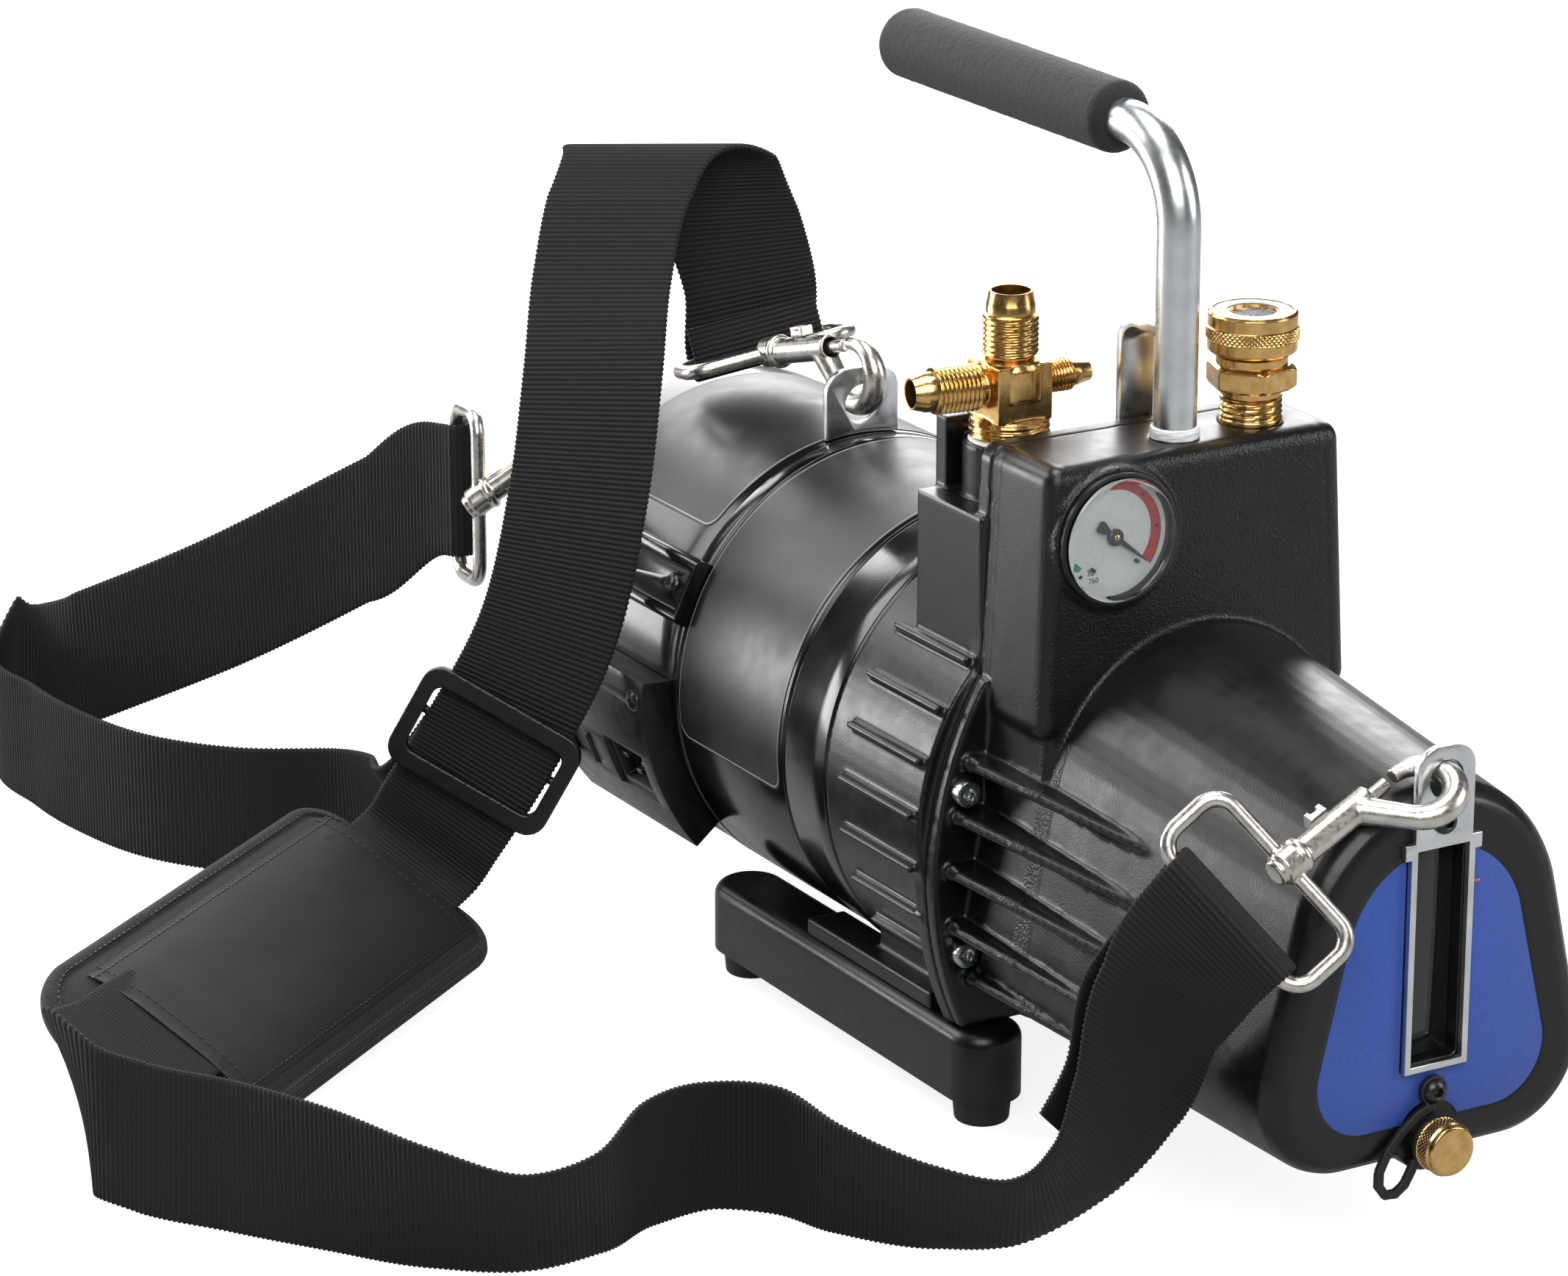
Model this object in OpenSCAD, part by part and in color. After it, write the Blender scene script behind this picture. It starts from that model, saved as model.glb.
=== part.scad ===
// Rotary vane vacuum pump with carrying strap, in millimetres.
// The floor is Z = 0, the front face looks towards -Y, the shaft runs along Y at X = 0.

/* [Oil case] */
// Length of the oil case from the joint to its front face
case_len = 172.5; // [165:0.5:180]
// Wall thickness of the oil case
case_wall = 5; // [4:0.5:6]
// Top of the gauge box above the floor
box_top = 237; // [235:1:240]
// Depth of the gauge box in front of the joint
box_depth = 39.5; // [37:0.5:42]
// Radius of the round rim of the front face
rim_r = 7; // [5:0.5:9]
// Half width of the sight window
window_half = 10; // [8:0.5:10]

/* [Motor] */
// Outside radius of the motor
motor_r = 83; // [82.5:0.1:83]
// Rear end of the motor
motor_rear = 212; // [206:1:214]
// Radius of the motor shaft
shaft_r = 8; // [7:0.5:8.5]

/* [Vane pump] */
// Radius of the rotor in each stage
rotor_r = 26; // [25:0.5:26]
// Radius of the bore in each stage ring
stage_bore = 30; // [30:0.5:31]
// Thickness of one vane
vane_t = 5; // [4:0.5:6]

/* [Handle] */
// Outside radius of the handle tube
tube_r = 7.25; // [7:0.05:7.5]
// Height of the grip axis above the floor
grip_z = 337; // [330:1:345]
// Outside radius of the foam grip
grip_r = 12.25; // [11:0.25:13]

/* [Base] */
// Half width of one skid
skid_r = 13.3; // [12:0.1:13.5]
// Distance of a skid from the middle
skid_x = 60; // [59:0.5:62]

/* [Strap] */
// Width of the webbing
web_w = 50; // [45:1:52]
// Thickness of the webbing
web_t = 2.4; // [2:0.1:3]

/* [Hidden] */
$fn = 64;
axis_z = 105;
joint_y = -76;
gasket_t = 0.8;
case_back = joint_y - gasket_t;
face_y = joint_y - case_len;
box_y = joint_y - box_depth;
flange_t = 5.5;
bell_flange_t = 7;
shell_front = -14;
seam_y = 99;
cover_r = motor_r - 0.4;
core_r = motor_r - 2.6;
fit = 0.05;
run = 0.1;

// Rib height at the flange, half width at the flange, half width at the tip
rib_rows = [[131, 70, 52.5], [113, 75, 56.5], [94, 77, 61.5], [74, 76, 64], [55, 69, 56]];
rib_len = 92;
rib_drop = 4.5;
rib_half = 2.2;
// Flange screws as x, z
screw_spots = [[-72, 121.5], [72, 121.5], [-72, 64.5], [72, 64.5]];
// Gauge centre and radii
gauge_x = -33;
gauge_z = 211.5;
gauge_bore = 22.6;
lens_r = 21;
// Sight window heights
window_lo = 69.7;
window_hi = 142.5;
// Front eye
eye_t = 2.5;
eye_z = 165;
eye_bore = 6.5;
// Drain below the window
drain_z = 43;
tether_z = 60;
// Ports on top of the case
tube_y = -97;
exhaust_x = 33;
exhaust_y = -93;
tee_x = -37;
tee_y = -54;
tee_base = 231;
tee_axis_z = 250;
// Stage stations along the shaft, first stage next to the joint
first_end = joint_y - 34;
middle_end = first_end - 8;
second_end = middle_end - 20;
end_plate_end = second_end - 10;
stage_r = 44;
bore_lift = stage_bore - rotor_r - run;
pump_shaft_r = 7;
slot_in = 9;
vane_in = 12;
spring_y = [6, 14];
// Snap hooks: bow centre, tilt, heading and roll of the hook, then tilt, heading and turn of its wire loop
hook_front = [[-10.3, -250.6, 163.4], 109.3, 175.1, -110, 129, 168.1, 26.2];
hook_top = [[0, 106, 209], 93.4, 96.9, 180, 102.8, 74.4, -100.8];
hook_rear = [[-53.9, 216, 174.7], 125.9, 171.5, 90, 96.2, 81.2, -178];
swivel_at = 50;
loop_half = 29;
loop_depth = 25;
loop_wire = 2.3;
bow_r = 11;
wire_r = 3.3;
// Eyes on the motor: y of the plate, lean from upright, radius of the hole
top_eye_y = 101.5;
rear_eye_y = 213.2;
rear_eye_lean = 30.6;
rear_eye_hole = 88.3;

// Strap routes as x, y, z of the middle line and the direction across the webbing
front_route = [
  [-80, -244, 133, -0.47, 0.55, 0.69], [-85, -241, 122, -0.6, 0.3, 0.66],
  [-92, -231, 101, -0.72, 0.05, 0.62], [-97, -220, 66, -0.79, -0.18, 0.58],
  [-107, -208, 39, -0.6, -0.45, 0.66], [-122, -194, 23.5, -0.34, -0.59, 0.73],
  [-140, -178, 23, -0.3, -0.5, 0.8], [-158, -146, 25, -0.2, -0.35, 0.92],
  [-165, -118, 26, -0.1, -0.17, 0.98], [-180, -104, 25.5, -0.1, -0.17, 0.98],
  [-205, -108, 26.5, -0.12, -0.2, 0.97], [-233, -124, 24.5, -0.25, -0.43, 0.87],
  [-257, -124, 23.5, -0.25, -0.43, 0.87], [-280, -102, 25, -0.15, -0.26, 0.95],
  [-300, -66, 26, 0, 0, 1], [-318, -33, 25.5, 0.1, 0.17, 0.98], [-338, -4, 25.5, 0.1, 0.17, 0.98],
  [-348, 16, 26, 0.05, 0.15, 0.98], [-342, 38, 28, -0.2, 0.4, 0.85], [-318, 54, 30, -0.45, 0.65, 0.6],
  [-295, 64.5, 30, -0.51, 0.7, 0.51]];
front_return = [
  [-74, -239, 130, -0.47, 0.55, 0.69], [-79, -233, 120, -0.6, 0.3, 0.66],
  [-89, -223, 103, -0.72, 0.05, 0.62], [-96, -212, 68, -0.79, -0.18, 0.58],
  [-107, -202, 43, -0.6, -0.45, 0.66], [-120, -190, 27.5, -0.34, -0.59, 0.73],
  [-136, -175, 26, -0.3, -0.5, 0.8], [-154, -144, 26.5, -0.2, -0.35, 0.92],
  [-161, -116, 26.5, -0.1, -0.17, 0.98]];
arch_route = [
  [1, 184, 206, 0.93, -0.3, 0.2], [4, 190, 224, 0.93, -0.28, 0.12], [-4, 195, 250, 0.92, -0.3, 0],
  [-20, 197, 272, 0.88, -0.4, 0], [-37, 192, 279, 0.86, -0.5, 0], [-55, 181, 266, 0.86, -0.5, 0],
  [-71, 166, 241, 0.86, -0.5, 0], [-85, 148, 211, 0.86, -0.5, 0], [-99, 134, 171, 0.86, -0.5, -0.1],
  [-116, 128, 123, 0.76, -0.5, -0.3], [-136, 137, 81, 0.66, -0.56, -0.45],
  [-151, 150, 47, 0.56, -0.66, -0.5], [-161.5, 158, 33, 0.51, -0.7, -0.51]];
side_route = [
  [-91, 251, 139, 0.05, 0.1, 0.99], [-112, 280, 121, 0.05, 0.1, 0.99], [-150, 327, 86, 0, 0.1, 0.99],
  [-190, 380, 52, 0, 0, 1], [-208, 410, 35, 0, 0, 1], [-214, 402, 27, 0, 0, 1],
  [-215, 365, 26, 0, 0, 1], [-213, 333, 26, 0, 0, 1], [-200, 288, 26, 0, 0, 1],
  [-178, 260, 26, 0, 0, 1], [-150, 237, 27.5, 0, 0, 1], [-141, 208, 33, -0.2, 0.2, 0.93],
  [-143, 178, 43, -0.5, 0.4, 0.7], [-141.5, 156, 58, -0.67, 0.57, 0.47], [-131.5, 143.5, 80, -0.67, 0.57, 0.47]];

function mix(a, b, f) = a + (b - a) * f;
function flip(s) = s < 0 ? 1 : 0;

// Local z points to the front, local y is up
module fwd(x, y, z) translate([x, y, z]) rotate([90, 0, 0]) children();

// Local z points up from a place on the ground plan
module up(x, y, z) translate([x, y, z]) children();

module pipe(r_out, r_in, h) difference() {
  cylinder(r = r_out, h = h);
  translate([0, 0, -1]) cylinder(r = r_in, h = h + 2);
}

// Sheet or shell round the shaft axis, from angle a0 over angle a, between two y stations
module shaft_sector(r_in, r_out, y0, y1, a0, a) fwd(0, y1, axis_z) rotate([0, 0, a0])
  rotate_extrude(angle = a, $fn = 128) translate([r_in, 0]) square([r_out - r_in, y1 - y0]);

// Outline shared by the two flanges
module flange_outline(inset = 0) intersection() {
  translate([47.8, 90]) circle(r = 130 - inset, $fn = 128);
  translate([-47.8, 90]) circle(r = 130 - inset, $fn = 128);
  translate([-90, 36 + inset]) square([180, 122]);
}

// Outline of the plate behind the gauge box
module plate_outline(inset = 0) {
  polygon([[-64.5 + inset, 100], [-58 + inset, box_top - 7], [58 - inset, box_top - 7], [64.5 - inset, 100]]);
  translate([-52 + inset, box_top - 12]) square([104 - 2 * inset, 11.5 - inset]);
  for (s = [-1, 1]) translate([s * 52, box_top - 6.5]) circle(r = 6 - inset);
}

// Three discs that span the case section, f = 0 at the joint and 1 at the face
module case_discs(f, y, inset, t) {
  fwd(0, y, mix(121, 109.4, f)) cylinder(r = mix(61, 51, f) - inset, h = t);
  for (s = [-1, 1])
    fwd(s * mix(32, 31.5, f), y, mix(74, 66, f)) cylinder(r = mix(38, 30, f) - inset, h = t);
}

module case_drum() hull() {
  case_discs(0, case_back, 0, 1);
  case_discs(0.95, face_y + rim_r, 0, 0.1);
  case_discs(1, face_y + rim_r / 2, rim_r * 0.134, 0.1);
  case_discs(1, face_y + rim_r * 0.134, rim_r / 2, 0.1);
  case_discs(1, face_y + 0.1, rim_r, 0.1);
}

module gauge_box() hull() for (s = [-1, 1]) {
  translate([s * 54.5, box_y + 6, 100]) sphere(r = 6, $fn = 32);
  translate([s * 48.5, box_y + 9.5, box_top - 6]) sphere(r = 6, $fn = 32);
  fwd(s * 58.5, case_back, 100) cylinder(r = 6, h = 1, $fn = 32);
  fwd(s * 52, case_back, box_top - 6) cylinder(r = 6, h = 1, $fn = 32);
}

module case_rib(row) {
  lean = atan((row[1] - row[2]) / rib_len);
  translate([0, case_back - 3, row[0]]) rotate([rib_drop, 0, 0]) {
    translate([0, 0, -rib_half]) linear_extrude(2 * rib_half)
      polygon([[45, 0], [row[1], 0], [row[2], -rib_len], [45, -rib_len]]);
    translate([row[1], 0, 0]) rotate([0, 0, -lean]) rotate([90, 0, 0])
      cylinder(r = rib_half, h = rib_len / cos(lean));
  }
}

module label_discs(y, t, grow) hull() {
  fwd(0, y, 108) cylinder(r = 34 + grow, h = t);
  for (s = [-1, 1]) fwd(s * 25, y, 68.5) cylinder(r = 19 + grow, h = t);
}

module oil_case() color([0.07, 0.07, 0.075]) difference() {
  union() {
    case_drum();
    gauge_box();
    fwd(0, case_back, 0) linear_extrude(flange_t) flange_outline();
    for (row = rib_rows) {
      case_rib(row);
      mirror([1, 0, 0]) case_rib(row);
    }
    fwd(0, face_y + 14, drain_z + 1) cylinder(r = 12, h = 14);
  }
  hull() {
    case_discs(0, case_back + 1, case_wall, 1);
    case_discs(0.93, face_y + 13, case_wall, 0.1);
  }
  label_discs(face_y + 0.8, 2, 0.2);
  translate([-window_half, face_y - 1, window_lo]) cube([2 * window_half, 11, window_hi - window_lo]);
  translate([-window_half + 2, face_y, window_lo + 2])
    cube([2 * window_half - 4, 20, window_hi - window_lo - 4]);
  fwd(gauge_x, box_y + 26, gauge_z) cylinder(r = gauge_bore, h = 40);
  up(0, tube_y, 205) cylinder(r = tube_r + fit, h = 40);
  up(exhaust_x, exhaust_y, 150) cylinder(r = 10.6 + fit, h = 100);
  fwd(0, face_y + 20, drain_z) cylinder(r = 4.8 + fit, h = 30);
  for (z = [tether_z, 151]) fwd(0, face_y + 9, z) cylinder(r = 2 + fit, h = 12);
  for (p = screw_spots) {
    fwd(p[0], case_back + 1, p[1]) cylinder(r = 2.5 + fit, h = 9);
    fwd(p[0], case_back - flange_t, p[1]) cylinder(r = 5, h = 9);
  }
}

module case_gasket() color([0.12, 0.12, 0.12]) fwd(0, joint_y, 0) difference() {
  union() {
    linear_extrude(gasket_t) flange_outline(0.6);
    linear_extrude(gasket_t) plate_outline(0.6);
  }
  translate([0, 121, -1]) cylinder(r = 55, h = gasket_t + 2);
  for (s = [-1, 1]) translate([s * 32, 74, -1]) cylinder(r = 32, h = gasket_t + 2);
  translate([-32, 42, -1]) cube([64, 60, gasket_t + 2]);
  for (p = screw_spots) translate([p[0], p[1], -1]) cylinder(r = 2.5 + fit, h = gasket_t + 2);
}

module case_screws() color([0.55, 0.56, 0.58]) for (p = screw_spots) {
  fwd(p[0], joint_y + 5, p[1]) cylinder(r = 2.5, h = 5 + gasket_t + flange_t);
  fwd(p[0], case_back - flange_t, p[1]) difference() {
    cylinder(r = 4.5, h = 5);
    translate([0, 0, 2.5]) cylinder(r = 2.3, h = 4, $fn = 6);
  }
}

module bell_housing() color([0.07, 0.07, 0.075]) difference() {
  union() {
    fwd(0, joint_y + bell_flange_t, 0) linear_extrude(bell_flange_t) {
      flange_outline();
      plate_outline();
    }
    fwd(0, shell_front, axis_z) cylinder(r = motor_r + 1, h = shell_front - joint_y - 1, $fn = 128);
    for (i = [-2:18]) fwd(0, -27, axis_z) rotate([0, 0, 180 - i * 12.5 + 8])
      translate([79, -1.2, 0]) cube([8.5, 2.4, 46]);
    translate([-61, joint_y + 1, 150]) cube([41, 40, 62]);
    up(tee_x, tee_y, 205) cylinder(r = 15.5, h = tee_base - 205);
    translate([-53, -40, 205]) cube([15, 6.5, 32]);
    for (s = [-1, 1]) mirror([flip(s), 0, 0]) {
      translate([40, -60, 35]) cube([30, 82, 6]);
      translate([40, -66, 40]) cube([22, 52, 24]);
    }
  }
  fwd(0, shell_front + 1, axis_z) cylinder(r = 62, h = 53);
  fwd(0, 0, axis_z) cylinder(r = pump_shaft_r + fit, h = 100);
  fwd(0, -60, axis_z) cylinder(r = 15, h = 10);
  fwd(0, 30, axis_z) cylinder(r = motor_r + 1.5, h = 30 - shell_front);
  up(tee_x, tee_y, 165) cylinder(r = 9, h = 80);
  fwd(tee_x, tee_y, 172) cylinder(r = 6, h = 40);
  for (p = screw_spots) fwd(p[0], joint_y + 5.2, p[1]) cylinder(r = 2.5 + fit, h = 9);
}

module motor_shell() color([0.06, 0.06, 0.065])
  fwd(0, seam_y, axis_z) rotate_extrude($fn = 128) polygon([
    [motor_r - 2.5, 0], [motor_r, 0], [motor_r, 7], [motor_r - 0.9, 7.4], [motor_r - 0.9, 8.6],
    [motor_r, 9], [motor_r, 82], [motor_r - 0.9, 82.4], [motor_r - 0.9, 83.6], [motor_r, 84],
    [motor_r, 103], [motor_r + 1.2, 104], [motor_r + 1.2, 112], [motor_r, 113], [motor_r - 2.5, 113]]);

module motor_rear_cover() color([0.06, 0.06, 0.065]) difference() {
  fwd(0, motor_rear, axis_z) rotate_extrude($fn = 128) difference() {
    union() {
      square([cover_r - 9, 3]);
      translate([0, 9]) square([cover_r, motor_rear - seam_y - 9]);
      square([cover_r - 9, 20]);
      translate([cover_r - 9, 9]) circle(r = 9);
    }
    translate([-1, 3]) square([cover_r - 8, 8]);
    translate([-1, 9]) square([cover_r - 1, motor_rear]);
  }
  for (i = [0:17]) fwd(0, motor_rear + 1, axis_z) rotate([0, 0, i * 20])
    translate([26, -3, 0]) cube([38, 6, 6]);
}

module end_shields() color([0.45, 0.46, 0.48]) {
  fwd(0, -4, axis_z) {
    pipe(core_r, 40, 9);
    translate([0, 0, 2]) pipe(41, 20 + fit, 7);
    translate([0, 0, -8]) pipe(26, 20 + fit, 17);
  }
  fwd(0, 140, axis_z) {
    pipe(core_r - 0.2, 40, 9);
    pipe(41, 20 + fit, 7);
    pipe(26, 20 + fit, 17);
  }
}

module stator_core() color([0.5, 0.5, 0.52]) fwd(0, 98, axis_z) difference() {
  cylinder(r = core_r, h = 78, $fn = 128);
  translate([0, 0, -1]) cylinder(r = 48, h = 80);
  for (i = [0:23]) rotate([0, 0, i * 15]) translate([52, -2.2, -1]) cube([14, 4.4, 80]);
}

module stator_windings() color([0.6, 0.32, 0.14]) for (y = [116, 20]) fwd(0, y, axis_z)
  rotate_extrude() translate([61, 9]) {
    circle(r = 9);
    translate([-9, 0]) square([18, y > 50 ? 9 : 7]);
    translate([-9, -7]) square([18, 7]);
  }

module motor_rotor() color([0.55, 0.55, 0.57]) fwd(0, 102, axis_z) difference() {
  cylinder(r = 47.4, h = 86);
  translate([0, 0, -1]) cylinder(r = shaft_r, h = 90);
}

module motor_shaft() color([0.6, 0.61, 0.63]) fwd(0, 192, axis_z) cylinder(r = shaft_r, h = 228);

module motor_bearings() color([0.6, 0.61, 0.63]) for (y = [4, 140]) fwd(0, y, axis_z)
  pipe(20, shaft_r + fit, 14);

module cooling_fan() color([0.1, 0.1, 0.1]) fwd(0, 190, axis_z) difference() {
  union() {
    cylinder(r = 16, h = 22);
    cylinder(r = 66, h = 2.5);
    for (i = [0:8]) rotate([0, 0, i * 40]) translate([12, -1.2, 0]) cube([54, 2.4, 20]);
  }
  translate([0, 0, -1]) cylinder(r = shaft_r, h = 30);
}

module motor_labels() color([0.2, 0.2, 0.21]) {
  shaft_sector(motor_r + 0.02, motor_r + 0.35, 19, 89.5, -10, 200);
  shaft_sector(cover_r + 0.02, cover_r + 0.35, 104, 191.5, 42, 96);
}

// Local x runs outwards from the shaft axis at an angle round it, local z to the front
module on_motor(angle, y) fwd(0, y, axis_z) rotate([0, 0, angle]) children();

module side_cover() color([0.07, 0.07, 0.075]) difference() {
  on_motor(154, 170) {
    translate([76, -12, 0]) cube([11, 24, 80]);
    for (s = [-1, 1]) translate([87, s * 10, 0]) cylinder(r = 2, h = 80);
    translate([76, -10, 0]) cube([13, 20, 80]);
  }
  on_motor(154, 162) translate([86.5, -7.5, -20]) cube([5, 15, 90]);
  fwd(0, 180, axis_z) cylinder(r = motor_r + 0.02, h = 100, $fn = 128);
  on_motor(154, 104) rotate([0, 90, 0]) cylinder(r = 2 + fit, h = 100);
}

module terminal_box() color([0.05, 0.05, 0.055]) difference() {
  shaft_sector(motor_r + 0.02, motor_r + 11.5, 96, 176, 177, 43);
  on_motor(202, 118) translate([motor_r + 1.5, -10.5, -14.5]) cube([20, 21, 29]);
  on_motor(202, 155) translate([motor_r + 1.5, -7, -11]) cube([20, 14, 22]);
  on_motor(182, 103) rotate([0, 90, 0]) cylinder(r = 2 + fit, h = 100);
}

module power_inlet() color([0.04, 0.04, 0.045]) on_motor(202, 118) translate([motor_r + 1.5, 0, 0]) {
  difference() {
    translate([0, -10.4, -14.4]) cube([8, 20.8, 28.8]);
    translate([2, -8, -12]) cube([8, 16, 24]);
  }
  for (p = [[-2.5, -7], [2.5, 0], [-2.5, 7]]) translate([1, p[0] - 1, p[1] - 2]) cube([6, 2, 4]);
}

module rocker_switch() color([0.05, 0.05, 0.05]) on_motor(202, 155) translate([motor_r + 6, 0, 0])
  rotate([0, 9, 0]) difference() {
    translate([-1, -6.4, -9.6]) cube([6, 12.8, 19.2]);
    translate([35.6, 10, 0]) rotate([90, 0, 0]) cylinder(r = 32, h = 20, $fn = 96);
  }

module small_screws() color([0.12, 0.12, 0.125]) {
  for (z = [tether_z, 151]) fwd(0, z > 100 ? face_y - eye_t : face_y - 2.4, z) {
    rotate_extrude() intersection() {
      translate([0, -3]) circle(r = 5.4);
      square([4.2, 3]);
    }
    translate([0, 0, -7]) cylinder(r = 2, h = 7);
  }
  on_motor(154, 104) translate([86.5, 0, 0]) rotate([0, 90, 0]) small_head();
  on_motor(182, 103) translate([motor_r + 11.52, 0, 0]) rotate([0, 90, 0]) small_head();
}

module small_head() {
  translate([0, 0, -3]) cylinder(r = 2, h = 3.5);
  difference() {
    rotate_extrude() intersection() {
      translate([0, -4]) circle(r = 5.6);
      square([4, 3]);
    }
    for (q = [0, 90]) rotate([0, 0, q]) translate([-2.2, -0.5, 0.8]) cube([4.4, 1, 3]);
  }
}

// Plate of a strap eye in its own plane, hole at a height
module eye_plate(half, foot, hole, top) difference() {
  union() {
    translate([-half, foot]) square([2 * half, top - foot - 9]);
    translate([-half + 9, top - 12]) square([2 * half - 18, 12]);
    for (s = [-1, 1]) translate([s * (half - 9), top - 9]) circle(r = 9);
  }
  translate([0, hole]) circle(r = 7);
}

module motor_eyes() color([0.66, 0.68, 0.7]) {
  difference() {
    union() {
      fwd(0, top_eye_y + 3, axis_z) linear_extrude(3) eye_plate(15, 78, 94, 107.5);
      translate([-15, top_eye_y, axis_z + 80]) cube([30, 1.4, 6]);
    }
    fwd(0, 130, axis_z) cylinder(r = motor_r + 0.02, h = 60, $fn = 128);
  }
  fwd(0, rear_eye_y + 3, axis_z) rotate([0, 0, rear_eye_lean]) linear_extrude(3)
    eye_plate(13, 50, rear_eye_hole, 99.5);
}

module front_eye() color([0.66, 0.68, 0.7]) fwd(0, face_y, 0) linear_extrude(eye_t) difference() {
  union() {
    translate([-11, 143]) square([22, 25]);
    translate([-3, 160]) square([6, 16]);
    for (s = [-1, 1]) translate([s * 3, 168]) circle(r = 8);
    translate([-14.7, 140]) square([29.4, 5]);
    translate([-window_half - 2.2, window_lo - 2.2]) square([2 * window_half + 4.4, 76]);
  }
  translate([-window_half, window_lo]) square([2 * window_half, window_hi - window_lo]);
  translate([0, eye_z]) circle(r = eye_bore);
  translate([0, 151]) circle(r = 2 + fit);
}

module sight_glass() color([0.16, 0.13, 0.1, 0.6])
  translate([-window_half + fit, face_y + 5.9, window_lo + fit])
    cube([2 * window_half - 2 * fit, 4, window_hi - window_lo - 2 * fit]);

module face_label() color([0.18, 0.27, 0.56]) difference() {
  label_discs(face_y + 0.78, 0.6, 0);
  translate([-12.4, face_y - 5, window_lo - 2.4]) cube([24.8, 10, 120]);
  fwd(0, face_y + 10, drain_z + 1) cylinder(r = 12.2, h = 30);
  fwd(0, face_y + 10, tether_z) cylinder(r = 2 + fit, h = 30);
}

module drain_fitting() color([0.72, 0.55, 0.25]) fwd(0, face_y + 10, drain_z) {
  cylinder(r = 4.8, h = 19);
  translate([0, 0, 10]) cylinder(r = 6.5, h = 2);
}

module drain_cap() color([0.72, 0.55, 0.25]) fwd(0, face_y - 4.3, drain_z) difference() {
  rotate_extrude() polygon([[0, 0], [7.4, 0], [9, 1.2], [9, 6.4], [8.3, 7], [8.3, 8], [7.6, 8.7], [0, 8.7]]);
  translate([0, 0, -1]) cylinder(r = 5.1, h = 7);
}

// Loop of the tether as points and half width in the plane of the face
tether_path = [[0, 55.3], [-6, 53], [-12, 48.5], [-17.5, 42.5], [-20.5, 36.5], [-20.6, 31.5],
  [-18, 28], [-14, 27.6], [-10.5, 30], [-8.2, 34], [-6.5, 37.5]];
function path_dir(p, i) = let (d = p[min(i + 1, len(p) - 1)] - p[max(i - 1, 0)]) d / norm(d);
function path_side(p, i, w) = let (d = path_dir(p, i)) p[i] + w * [-d[1], d[0]];

module drain_tether() color([0.06, 0.06, 0.06]) fwd(0, face_y - 2.05, drain_z) {
  n = len(tether_path);
  difference() {
    union() {
      cylinder(r = 8.4, h = 2);
      translate([0, tether_z - drain_z, -1.9]) cylinder(r = 5, h = 2.2);
      translate([0, -drain_z, -1]) linear_extrude(2) polygon(concat(
        [for (i = [0:n - 1]) path_side(tether_path, i, 1.6)],
        [for (i = [n - 1:-1:0]) path_side(tether_path, i, -1.6)]));
    }
    translate([0, 0, -3]) cylinder(r = 6.8, h = 8);
    translate([0, tether_z - drain_z, -3]) cylinder(r = 2 + fit, h = 8);
    translate([0, tether_z - drain_z, 0.35]) cylinder(r = 4.6, h = 8);
  }
}

module handle_tube() color([0.68, 0.7, 0.72]) difference() {
  union() {
    up(0, tube_y, 206) cylinder(r = tube_r, h = grip_z - 30 - 206);
    translate([0, tube_y + 30, grip_z - 30]) rotate([90, 0, 0]) rotate([0, -90, 0])
      rotate_extrude(angle = 90) translate([30, 0]) circle(r = tube_r);
    fwd(0, 70, grip_z) cylinder(r = tube_r, h = 70 - tube_y - 30);
  }
  up(0, tube_y, 200) cylinder(r = tube_r - 1.5, h = grip_z - 30 - 200);
}

module foam_grip() color([0.05, 0.05, 0.05]) fwd(0, 75, grip_z) rotate_extrude() difference() {
  union() {
    square([grip_r - 5, 138]);
    translate([0, 5]) square([grip_r, 128]);
    for (z = [5, 133]) translate([grip_r - 5, z]) circle(r = 5);
  }
  translate([-1, 5]) square([1 + tube_r + fit, 140]);
  translate([-20, -10]) square([20, 160]);
}

module hanger_hook() color([0.68, 0.7, 0.72]) translate([-2.5, 0, 0]) rotate([90, 0, 90]) linear_extrude(13) {
  difference() {
    union() {
      translate([-68.9, 205]) square([3.6, 57]);
      translate([-76.3, 262]) circle(r = 11);
      translate([-88.5, 269.4]) square([12.2, 3.6]);
    }
    translate([-76.3, 262]) circle(r = 7.4);
    translate([-100, 240]) square([31.1, 22]);
    translate([-100, 240]) square([23.7, 29.4]);
  }
}

// Male flare port along local z from the middle of the tee
module flare_port(r, start, len) rotate_extrude() polygon([[0, start], [r - 1.6, start], [r - 1.6, start + 2],
  [r, start + 2.8], [r, len - 8], [r - 1.4, len - 7], [r - 1.4, len - 4], [r * 0.62, len], [0, len]]);

module intake_tee() color([0.74, 0.57, 0.26]) difference() {
  union() {
    up(tee_x, tee_y, 212) cylinder(r = 9 - fit, h = 24);
    up(tee_x, tee_y, tee_base) rotate_extrude() polygon([[0, 0], [12.6, 0], [13.75, 1], [13.75, 7], [12, 8.5], [0, 8.5]]);
    translate([tee_x, tee_y, tee_axis_z]) {
      translate([-11, -10, -11.5]) cube([22, 20, 21.5]);
      flare_port(9.5, 8, 32);
      rotate([0, -90, -8]) flare_port(7.95, 10, 36);
      rotate([0, 90, 0]) flare_port(5.55, 9, 30.5);
    }
  }
  up(tee_x, tee_y, 200) cylinder(r = 5.5, h = 100);
  translate([tee_x, tee_y, tee_axis_z]) {
    rotate([0, -90, -8]) cylinder(r = 4.6, h = 50);
    rotate([0, 90, 0]) cylinder(r = 2.7, h = 50);
  }
}

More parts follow.
